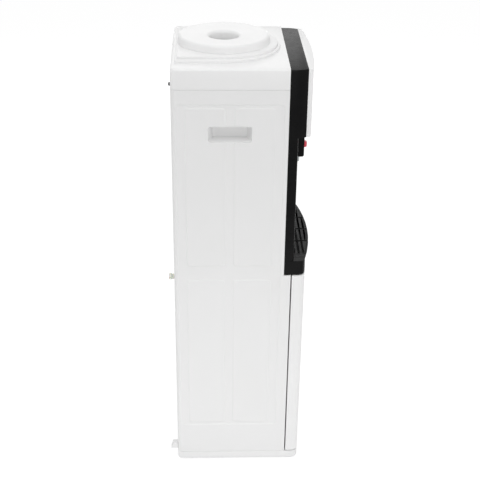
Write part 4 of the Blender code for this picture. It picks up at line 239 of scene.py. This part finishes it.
def black_rubber():
    look = Look("black_rubber", (0.022, 0.022, 0.022), 0.75)
    look.vary_colour(look.noise(160, 4), (0.045, 0.043, 0.040), 0.45, 0.75)
    return look.raise_by(look.noise(1200, 3), 0.00008)


def pale_spout():
    look = Look(
        "pale_spout", (0.50, 0.53, 0.53), 0.22,
        Transmission_Weight=0.25, IOR=1.49, Coat_Weight=0.2, Coat_Roughness=0.08,
    )
    look.vary_colour(look.noise(180, 3), (0.45, 0.48, 0.48))
    return look.raise_by(look.noise(600, 1), 0.00002)


def light_guide():
    look = Look("light_guide", (0.78, 0.80, 0.82), 0.12, Transmission_Weight=0.6, IOR=1.49)
    look.vary_roughness(look.noise(400, 3), 0.08, 0.2)
    return look.raise_by(look.noise(500, 1), 0.00001)


def ceramic_plate():
    look = Look("ceramic_plate", (0.80, 0.78, 0.72), 0.5)
    look.vary_colour(look.noise(200, 3), (0.74, 0.72, 0.66))
    return look.raise_by(look.noise(1500, 2), 0.00002)


def ferrite():
    look = Look("ferrite", (0.07, 0.07, 0.072), 0.55)
    look.vary_colour(look.noise(400, 4), (0.04, 0.04, 0.04))
    return look.raise_by(look.noise(1500, 3), 0.00005)


WHITE = white_moulding()
SHEET = white_sheet()
BLACK = black_moulding()
MATT = black_matt()
GREY = grey_moulding()
STEEL = bare_steel()
SCREW = dark_screw()
ALLOY = extruded_aluminium()
FOAM = beaded_foam()
SILICONE = clear_silicone()
RUBBER = black_rubber()
SPOUT = pale_spout()
GUIDE = light_guide()
CERAMIC = ceramic_plate()
FERRITE = ferrite()
RED = coloured_moulding("red_moulding", (0.72, 0.035, 0.07), (0.60, 0.025, 0.05))
BLUE = coloured_moulding("blue_moulding", (0.03, 0.15, 0.58), (0.025, 0.11, 0.47))
GREEN = coloured_moulding("green_moulding", (0.03, 0.33, 0.12), (0.02, 0.26, 0.09))

# Which CAD nodes wear which look, and by how many millimetres their edges are rounded
MILLIMETRE = 0.001
DRESS = (
    (WHITE, 0.4, ("base", "top_cover", "head_cover", "door_shell", "hand_grip_left", "hand_grip_right")),
    (WHITE, 0.3, ("rear_spacer",)),
    (WHITE, 0.0, ("bottle_seat", "bottle_probe", "door_back_sheet", "cabinet_liner")),
    (SHEET, 0.0, ("back_panel",)),
    (BLACK, 0.6, ("front_frame",)),
    (BLACK, 0.3, ("alcove_liner", "tap_body_hot", "tap_body_cold",
                  "tap_lever_hot", "tap_lever_cold", "switch_bezel")),
    (BLACK, 0.0, ("fan_frame", "fan_rotor")),
    (MATT, 0.4, ("drip_tray",)),
    (MATT, 0.0, ("drip_grille",)),
    (GREY, 0.0, ("cold_tank", "tank_lid")),
    (FOAM, 0.0, ("cold_tank_jacket", "hot_tank_jacket")),
    (STEEL, 0.0, ("tank_shelf", "hot_tank", "heater_band", "machine_deck", "door_hinge_pin", "catch_plate")),
    (SCREW, 0.0, ("cover_screw_left", "cover_screw_right")),
    (ALLOY, 0.0, ("cold_block", "heat_sink")),
    (CERAMIC, 0.0, ("thermoelectric_plate",)),
    (SILICONE, 0.0, ("hot_tube", "cold_tube", "feed_tube", "drain_tube", "drain_outlet", "drain_cap")),
    (RUBBER, 0.0, ("foot_front_left", "foot_front_right", "foot_rear_left", "foot_rear_right",
                   "mains_gland")),
    (SPOUT, 0.0, ("nozzle_hot", "nozzle_cold")),
    (GUIDE, 0.0, ("indicator_strip",)),
    (RED, 0.0, ("child_lock_button", "rocker_heating")),
    (BLUE, 0.0, ("cold_marker",)),
    (GREEN, 0.0, ("rocker_cooling",)),
    (FERRITE, 0.0, ("catch_magnet",)),
)


def soften(piece, edge, sharp=SHARP):
    """Smooth a piece's round faces and round its edges by this many millimetres."""
    piece.data.polygons.foreach_set("use_smooth", [True] * len(piece.data.polygons))
    weld = piece.modifiers.new("weld", "WELD")
    weld.merge_threshold = WELD
    if edge:
        flat = piece.modifiers.new("flat", "DECIMATE")
        flat.decimate_type = "DISSOLVE"
        flat.angle_limit = FLAT
        bevel = piece.modifiers.new("bevel", "BEVEL")
        bevel.width = edge * MILLIMETRE
        bevel.segments = 2
        bevel.limit_method = "ANGLE"
        bevel.angle_limit = sharp
        bevel.harden_normals = True
    else:
        split = piece.modifiers.new("split", "EDGE_SPLIT")
        split.split_angle = SHARP


def dress(node, look, edge, sharp=SHARP):
    """Give a CAD node its finish and soften its edges."""
    mesh = NODES[node].data
    mesh.materials.clear()
    mesh.materials.append(look.material)
    if mesh.has_custom_normals:
        mesh.attributes.remove(mesh.attributes["custom_normal"])
    soften(NODES[node], edge, sharp)


for look, edge, names in DRESS:
    for name in names:
        dress(name, look, edge)
for name in ("side_panel_left", "side_panel_right"):
    dress(name, SHEET, 0.5, PRESSED)


def add_piece(name, look, body, points, faces):
    """Make a piece from points and faces and let it ride on a body."""
    mesh = bpy.data.meshes.new(name)
    mesh.from_pydata([tuple(point) for point in points], [], faces)
    shape = bmesh.new()
    shape.from_mesh(mesh)
    bmesh.ops.recalc_face_normals(shape, faces=shape.faces)
    shape.to_mesh(mesh)
    shape.free()
    mesh.materials.append(look.material)
    piece = bpy.data.objects.new(name, mesh)
    bpy.context.scene.collection.objects.link(piece)
    soften(piece, 0.0)
    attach(piece, body)
    return piece


def trim(name, look, body, patches):
    """Make one trim piece of closed patches, each of rings of points."""
    points, faces = [], []
    for rings, closed in patches:
        base, count = len(points), len(rings[0])
        points += [point for ring in rings for point in ring]
        for row in range(len(rings) if closed else len(rings) - 1):
            here, there = base + row * count, base + (row + 1) % len(rings) * count
            for k in range(count):
                n = (k + 1) % count
                faces.append((here + k, here + n, there + n, there + k))
        if not closed:
            faces.append(tuple(range(base + count - 1, base - 1, -1)))
            faces.append(tuple(range(base + (len(rings) - 1) * count, base + len(rings) * count)))
    return add_piece(name, look, body, points, faces)


def rounded(corners, steps):
    """Return a closed outline whose corners (a, b, radius) are rounded."""
    outline = []
    for index, (a, b, radius) in enumerate(corners):
        corner = Vector((a, b))
        if not radius:
            outline.append(corner)
            continue
        before = (Vector(corners[index - 1][:2]) - corner).normalized()
        after = (Vector(corners[(index + 1) % len(corners)][:2]) - corner).normalized()
        half = before.angle(after) / 2
        centre = corner + (before + after).normalized() * radius / math.sin(half)
        start = corner + before * radius / math.tan(half) - centre
        end = corner + after * radius / math.tan(half) - centre
        sweep = start.angle_signed(end)
        outline += [centre + Matrix.Rotation(-sweep * step / steps, 2) @ start for step in range(steps + 1)]
    return outline


# The bottle seat, turned finer than its solid
SEAT_Y = 0.0335
SEAT_STEPS = 96
SEAT_ROUND = 8
SEAT_PROFILE = (
    (0.0305, 0.9708, 0.012), (0.0848, 0.9744, 0), (0.0895, 0.9714, 0), (0.0925, 0.9623, 0),
    (0.0955, 0.9623, 0), (0.0925, 0.9777, 0.0061), (0.0312, 0.9742, 0.008), (0.0275, 0.9582, 0.01),
    (0.0275, 0.903, 0), (0.0123, 0.903, 0), (0.0123, 0.900, 0), (0.0305, 0.900, 0),
)


def fine_seat():
    """The dished seat and its throat as one smooth ring."""
    outline = rounded(SEAT_PROFILE, SEAT_ROUND)
    rings = []
    for step in range(SEAT_STEPS):
        angle = 2 * math.pi * step / SEAT_STEPS
        rings.append([(r * math.cos(angle), SEAT_Y + r * math.sin(angle), z) for r, z in outline])
    piece = trim("bottle_seat_turned", WHITE, "seat", [(rings, True)])
    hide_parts("bottle_seat")


# The grille with its rows as the photograph shows them, in four fields over a slotted plate
GRILLE_HALF = 0.122
GRILLE_FRONT = -0.152
GRILLE_BACK = -0.062
GRILLE_BOW = 0.5775
GRILLE_CORNER = 0.006
GRILLE_TOP = 0.5290
GRILLE_SPLIT = 0.5268
GRILLE_LOW = 0.5258
GRILLE_EDGE = 0.0003
GRILLE_SINK = 0.0007
GRILLE_SET_BACK = 0.0001
FIELD = 0.0589
FIELD_GAP = 0.0046
FIELD_CORNER = 0.0008
ROW_INSET = 0.0033
ROW_CORNER = 0.0012
ROW_PARTS = 10
ROW_ROUND = 4
FIELD_PARTS = 12
FIELD_ROUND = 5
ROWS = 9
ROW_FIRST = -0.1470
ROW_PITCH = 0.0097
ROW_WIDTH = 0.0042
ROW_RIM = 0.0021
ROW_NARROW = 0.0012


def bowed(x):
    """Return the Y of the grille's front edge."""
    return GRILLE_FRONT + GRILLE_BOW - math.sqrt(GRILLE_BOW * GRILLE_BOW - x * x)


def row_hole(left, right, back, grow):
    """Return a slot, narrowed where the front edge bows back, or nothing where too little is left of it."""
    steps = [left + (right - left) * k / ROW_PARTS for k in range(ROW_PARTS + 1)]
    front = [(x, max(back - ROW_WIDTH, bowed(x) + ROW_RIM)) for x in steps]
    front = [(x, y) for x, y in front if back - y >= ROW_NARROW]
    if len(front) < 3:
        return None
    narrow = min(back - front[0][1], back - front[-1][1])
    corner = min(ROW_CORNER, 0.45 * narrow) + grow
    first, last = (front[0][0] - grow, front[0][1] - grow), (front[-1][0] + grow, front[-1][1] - grow)
    middle = [(x, y - grow, 0) for x, y in front[1:-1]]
    corners = [(*first, corner)] + middle + [(*last, corner)]
    corners += [(last[0], back + grow, corner), (first[0], back + grow, corner)]
    return rounded(corners, ROW_ROUND)


def field_outline(left, right, shrink):
    """Return the outline of one part of the grille between two sides."""
    ends = [GRILLE_CORNER if abs(side) > 2 * FIELD else FIELD_CORNER for side in (left, right)]
    left, right = left + shrink, right - shrink
    steps = [left + (right - left) * k / FIELD_PARTS for k in range(FIELD_PARTS + 1)]
    front = [(x, bowed(x) + shrink, 0) for x in steps]
    front[0] = (*front[0][:2], ends[0] - shrink)
    front[-1] = (*front[-1][:2], ends[1] - shrink)
    back = GRILLE_BACK - shrink
    return rounded(front + [(right, back, ends[1] - shrink), (left, back, ends[0] - shrink)], FIELD_ROUND)


def slotted_plate(sides, spans, low, high, extra):
    """Return points and faces of a plate between two sides, its slots and its bevelled edges."""
    points, faces, loops = [], [], []
    levels = ((low, GRILLE_EDGE), (low + GRILLE_EDGE, 0.0), (high - GRILLE_EDGE, 0.0), (high, GRILLE_EDGE))
    for z, inset in levels:
        loops = [field_outline(*sides, extra + inset)]
        for left, right in spans:
            for row in range(ROWS):
                back = ROW_FIRST + ROW_PITCH * row + ROW_WIDTH / 2
                loops.append(row_hole(left, right, back, extra + inset))
        loops = [loop for loop in loops if loop]
        points += [(x, y, z) for loop in loops for x, y in loop]
        if inset:
            level = len(points) - sum(len(loop) for loop in loops)
            flat = tessellate_polygon([[Vector((x, y, 0)) for x, y in loop] for loop in loops])
            faces += [tuple(level + k for k in face) for face in flat]
    count = len(points) // 4
    start = 0
    for loop in loops:
        for k in range(len(loop)):
            here, there = start + k, start + (k + 1) % len(loop)
            for level in (0, count, 2 * count):
                faces.append((level + here, level + there, level + count + there, level + count + here))
        start += len(loop)
    return points, faces


def fine_grille():
    """Four slotted fields with grooves between them, on the slotted plate that joins them."""
    points, faces, spans = [], [], []
    for index in range(-2, 2):
        sides = (FIELD * index + FIELD_GAP / 2, FIELD * (index + 1) - FIELD_GAP / 2)
        span = (FIELD * index + ROW_INSET, FIELD * (index + 1) - ROW_INSET)
        if index == -2:
            sides, span = (-GRILLE_HALF, sides[1]), (-2 * FIELD, span[1])
        if index == 1:
            sides, span = (sides[0], GRILLE_HALF), (span[0], 2 * FIELD)
        spans.append(span)
        field = slotted_plate(sides, [span], GRILLE_SPLIT - GRILLE_SINK, GRILLE_TOP, 0.0)
        faces += [tuple(len(points) + k for k in face) for face in field[1]]
        points += field[0]
    plate = slotted_plate((-GRILLE_HALF, GRILLE_HALF), spans, GRILLE_LOW, GRILLE_SPLIT, GRILLE_SET_BACK)
    faces += [tuple(len(points) + k for k in face) for face in plate[1]]
    points += plate[0]
    piece = add_piece("drip_grille_fine", MATT, "grille", points, faces)
    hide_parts("drip_grille")


# The domed cap of the child lock
CAP_PLACE = (-0.065, -0.1377, 0.7615)
CAP_PROFILE = ((0.0056, 0.0004), (0.0056, -0.0008), (0.0053, -0.0014), (0.0046, -0.0018), (0.0032, -0.0021),
               (0.0014, -0.00225))
CAP_CORNER = 0.3
CAP_ROUND = 6


def lock_cap():
    """The cap that a finger pushes, a low dome with four rounded sides on the button."""
    rings = []
    for half, rise in CAP_PROFILE:
        corners = [(a * half, b * half, CAP_CORNER * half) for a, b in ((-1, -1), (1, -1), (1, 1), (-1, 1))]
        outline = rounded(corners, CAP_ROUND)
        rings.append([(CAP_PLACE[0] + a, CAP_PLACE[1] + rise, CAP_PLACE[2] + b) for a, b in outline])
    trim("child_lock_cap", RED, "child_lock", [(rings, False)])


# The soft sleeves at the ends of the nozzles
SLEEVE_Y = -0.1165
SLEEVE_PROFILE = ((0.0072, 0.7245), (0.0082, 0.7235), (0.0089, 0.7242), (0.0089, 0.7256), (0.0085, 0.7262),
                  (0.0085, 0.7276), (0.0089, 0.7282), (0.0089, 0.7348), (0.0084, 0.7354), (0.0072, 0.7354))
SLEEVE_STEPS = 48


def nozzle_sleeve(name, x):
    """A ring with one groove round the tip of a nozzle."""
    rings = []
    for step in range(SLEEVE_STEPS):
        angle = 2 * math.pi * step / SLEEVE_STEPS
        across, ahead = math.cos(angle), math.sin(angle)
        rings.append([(x + r * across, SLEEVE_Y + r * ahead, z) for r, z in SLEEVE_PROFILE])
    trim(name, SPOUT, "cabinet", [(rings, True)])


# Screws along both edges of the back panel: rings as shares of the radius, the height and the recess
BACK_FACE = 0.1372
SCREW_SIDE = 0.127
SCREW_HEIGHTS = (0.045, 0.272, 0.505, 0.714, 0.890)
SCREW_POINTS = 24
SCREW_RADIUS = 0.0031
SCREW_THICK = 0.0019
SCREW_RINGS = (
    (1.0, 0.0, None), (1.0, 0.45, None), (0.93, 0.75, None), (0.78, 0.95, None), (0.66, 1.0, None),
    (0.60, 1.0, 0.22), (0.40, 0.4, 0.18),
)


def pan_screw(name, x, z):
    """A pan head screw with a cross recess, its head on the back panel."""
    rings = []
    for radius, rise, recess in SCREW_RINGS:
        ring = []
        for k in range(SCREW_POINTS):
            angle = 2 * math.pi * k / SCREW_POINTS
            on_arm = recess is None or k % 6 in (0, 1, 5)
            reach = SCREW_RADIUS * (radius if on_arm else recess)
            ring.append((
                x + reach * math.cos(angle), BACK_FACE + rise * SCREW_THICK, z + reach * math.sin(angle),
            ))
        rings.append(ring)
    trim(name, STEEL, "cabinet", [(rings, False)])


def back_screws():
    for side, x in (("left", -SCREW_SIDE), ("right", SCREW_SIDE)):
        for index, z in enumerate(SCREW_HEIGHTS):
            pan_screw("back_screw_%s_%d" % (side, index + 1), x, z)


# Pressed hoods over the slots of the back panel: how full one is along its length, and its section
VENT_HALF = 0.0365
VENT_PITCH = 0.011
VENT_LOW = 0.0012
FAN_VENT_Z = 0.8177
FAN_VENT_ROWS = 9
DECK_VENT_Z = 0.556
DECK_VENT_ROWS = 4
HOOD_REACH = 0.0021
HOOD_RISE = 0.0044
HOOD_SHEET = 0.0006
HOOD_ALONG = (
    (-1.0, 0.12), (-0.985, 0.55), (-0.95, 0.9), (-0.9, 1.0),
    (0.9, 1.0), (0.95, 0.9), (0.985, 0.55), (1.0, 0.12),
)
HOOD_ARC = ((0.0, 1.0), (0.30, 0.93), (0.62, 0.72), (0.87, 0.40), (1.0, 0.0))


def vent_hoods(name, middle, rows):
    """A row of hoods, each a thin curved lip that runs out into the sheet at its ends."""
    patches = []
    for row in range(rows):
        low = middle + VENT_PITCH * (row - (rows - 1) / 2) + VENT_LOW
        rings = []
        for x, share in HOOD_ALONG:
            reach = HOOD_REACH * share
            outer = [(reach * a, HOOD_RISE * (1 - share + share * b)) for a, b in HOOD_ARC]
            inner = [
                (max(a - HOOD_SHEET, 0.0) * 0.9, b - HOOD_SHEET * (1 - b / HOOD_RISE) * 0.3)
                for a, b in reversed(outer)
            ]
            inner[-1] = (0.0, HOOD_RISE - 2 * HOOD_SHEET)
            rings.append([(VENT_HALF * x, BACK_FACE + a, low + b) for a, b in outer + inner])
        patches.append((rings, False))
    trim(name, SHEET, "cabinet", patches)


# Coloured lenses of the three lamps
LAMP_Z = 0.905
LAMP_SPACING = 0.014
LENS_RADIUS = 0.0022
LENS_STEPS = 24
LENS_LIFT = 0.00002
LENS_PROFILE = (
    (0.9, -0.0003), (1.0, -0.0002), (1.0, 0.0001), (0.93, 0.00035), (0.75, 0.0006), (0.5, 0.00078),
    (0.2, 0.00087),
)


def lamp_lens(name, look, x):
    """A low dome on one lens of the light guide."""
    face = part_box("indicator_strip")[0].y + LENS_LIFT
    rings = []
    for share, rise in LENS_PROFILE:
        rings.append([
            (
                x + LENS_RADIUS * share * math.cos(2 * math.pi * k / LENS_STEPS), face - rise,
                LAMP_Z + LENS_RADIUS * share * math.sin(2 * math.pi * k / LENS_STEPS),
            )
            for k in range(LENS_STEPS)
        ])
    trim(name, look, "cabinet", [(rings, False)])


# The two taps, and the thumb ribs on their levers
TAP_SIDE = 0.065
RIB_HALF = 0.0085
RIB_RADIUS = 0.0007
RIB_FACE = -0.1335
RIB_HEIGHTS = (0.7405, 0.7433, 0.7461, 0.7489)
RIB_ALONG = ((-1.0, 0.25), (-0.985, 0.7), (-0.95, 1.0), (0.95, 1.0), (0.985, 0.7), (1.0, 0.25))
RIB_STEPS = 8


def thumb_ribs(name, body, x):
    """Four low bars with round ends across the foot of a lever."""
    patches = []
    for z in RIB_HEIGHTS:
        rings = []
        for end, share in RIB_ALONG:
            rings.append([
                (
                    x + RIB_HALF * end,
                    RIB_FACE - RIB_RADIUS * share * (0.9 * math.sin(math.pi * k / RIB_STEPS) - 0.15),
                    z + RIB_RADIUS * share * math.cos(math.pi * k / RIB_STEPS),
                )
                for k in range(RIB_STEPS + 1)
            ])
        patches.append((rings, False))
    trim(name, BLACK, body, patches)


fine_seat()
fine_grille()
lock_cap()
nozzle_sleeve("nozzle_sleeve_hot", -TAP_SIDE)
nozzle_sleeve("nozzle_sleeve_cold", TAP_SIDE)
back_screws()
vent_hoods("fan_vent_hoods", FAN_VENT_Z, FAN_VENT_ROWS)
vent_hoods("deck_vent_hoods", DECK_VENT_Z, DECK_VENT_ROWS)
lamp_lens("lamp_lens_heating", RED, -LAMP_SPACING)
lamp_lens("lamp_lens_power", GREEN, 0.0)
lamp_lens("lamp_lens_cooling", BLUE, LAMP_SPACING)
thumb_ribs("thumb_ribs_hot", "hot_lever", -TAP_SIDE)
thumb_ribs("thumb_ribs_cold", "cold_lever", TAP_SIDE)


def light_path_mask(nodes, links):
    """Return a factor that is one where the background is seen, also in gloss and through glass."""
    path = nodes.new("ShaderNodeLightPath")
    total = path.outputs["Is Camera Ray"]
    for ray in ("Is Glossy Ray", "Is Transmission Ray"):
        both = nodes.new("ShaderNodeMath")
        both.operation = "MAXIMUM"
        links.new(total, both.inputs[0])
        links.new(path.outputs[ray], both.inputs[1])
        total = both.outputs[0]
    return total


def studio_world():
    """An even pale surround, seen as white."""
    world = bpy.data.worlds.new("studio")
    bpy.context.scene.world = world
    world.use_nodes = True
    nodes, links = world.node_tree.nodes, world.node_tree.links
    nodes.clear()
    out = nodes.new("ShaderNodeOutputWorld")
    mix = nodes.new("ShaderNodeMixShader")
    for index, strength in ((1, WORLD_LIGHT), (2, 1.0)):
        sky = nodes.new("ShaderNodeBackground")
        sky.inputs["Strength"].default_value = strength
        sky.inputs["Color"].default_value = (1.0, 1.0, 1.0, 1.0)
        links.new(sky.outputs[0], mix.inputs[index])
    links.new(light_path_mask(nodes, links), mix.inputs[0])
    links.new(mix.outputs[0], out.inputs["Surface"])


def studio_floor():
    """A pale floor that is seen as white outside the soft shadow of the cooler."""
    mesh = bpy.data.meshes.new("floor")
    half = FLOOR_SIZE / 2
    corners = [(-half, -half, 0), (half, -half, 0), (half, half, 0), (-half, half, 0)]
    mesh.from_pydata(corners, [], [(0, 1, 2, 3)])
    floor = bpy.data.objects.new("floor", mesh)
    bpy.context.scene.collection.objects.link(floor)
    material = bpy.data.materials.new("floor")
    material.use_nodes = True
    nodes, links = material.node_tree.nodes, material.node_tree.links
    nodes.clear()
    out = nodes.new("ShaderNodeOutputMaterial")
    plain = nodes.new("ShaderNodeBsdfDiffuse")
    plain.inputs["Color"].default_value = FLOOR_COLOUR
    shade = nodes.new("ShaderNodeBsdfDiffuse")
    shade.inputs["Color"].default_value = (FLOOR_SHADE, FLOOR_SHADE, FLOOR_SHADE, 1.0)
    glow = nodes.new("ShaderNodeEmission")
    glow.inputs["Strength"].default_value = FLOOR_GLOW
    seen = nodes.new("ShaderNodeAddShader")
    links.new(shade.outputs[0], seen.inputs[0])
    links.new(glow.outputs[0], seen.inputs[1])
    mix = nodes.new("ShaderNodeMixShader")
    links.new(light_path_mask(nodes, links), mix.inputs[0])
    links.new(plain.outputs[0], mix.inputs[1])
    links.new(seen.outputs[0], mix.inputs[2])
    links.new(mix.outputs[0], out.inputs["Surface"])
    mesh.materials.append(material)


def soft_lamp(name, place, target, width, height, power):
    """A softbox that the camera doesn't see."""
    light = bpy.data.lights.new(name, "AREA")
    light.shape = "RECTANGLE"
    light.size, light.size_y = width, height
    light.energy = power
    lamp = bpy.data.objects.new(name, light)
    lamp.location = place
    lamp.rotation_mode = "QUATERNION"
    lamp.rotation_quaternion = (Vector(target) - Vector(place)).to_track_quat("-Z", "Y")
    lamp.visible_camera = False
    bpy.context.scene.collection.objects.link(lamp)


def photo_camera():
    """The camera at the photograph's place, direction and field of view."""
    camera = bpy.data.objects.new("camera", bpy.data.cameras.new("camera"))
    camera.data.sensor_width = SENSOR
    camera.data.lens = FOCAL_PIXELS / IMAGE_SIDE * SENSOR
    axes = Matrix((CAMERA_RIGHT, [-v for v in CAMERA_DOWN], [-v for v in CAMERA_AHEAD])).transposed()
    camera.matrix_world = Matrix.Translation(CAMERA_PLACE) @ axes.to_4x4()
    bpy.context.scene.collection.objects.link(camera)
    bpy.context.scene.camera = camera


studio_world()
studio_floor()
for softbox in SOFTBOXES:
    soft_lamp(*softbox)
photo_camera()
bpy.context.scene.view_settings.view_transform = "Standard"
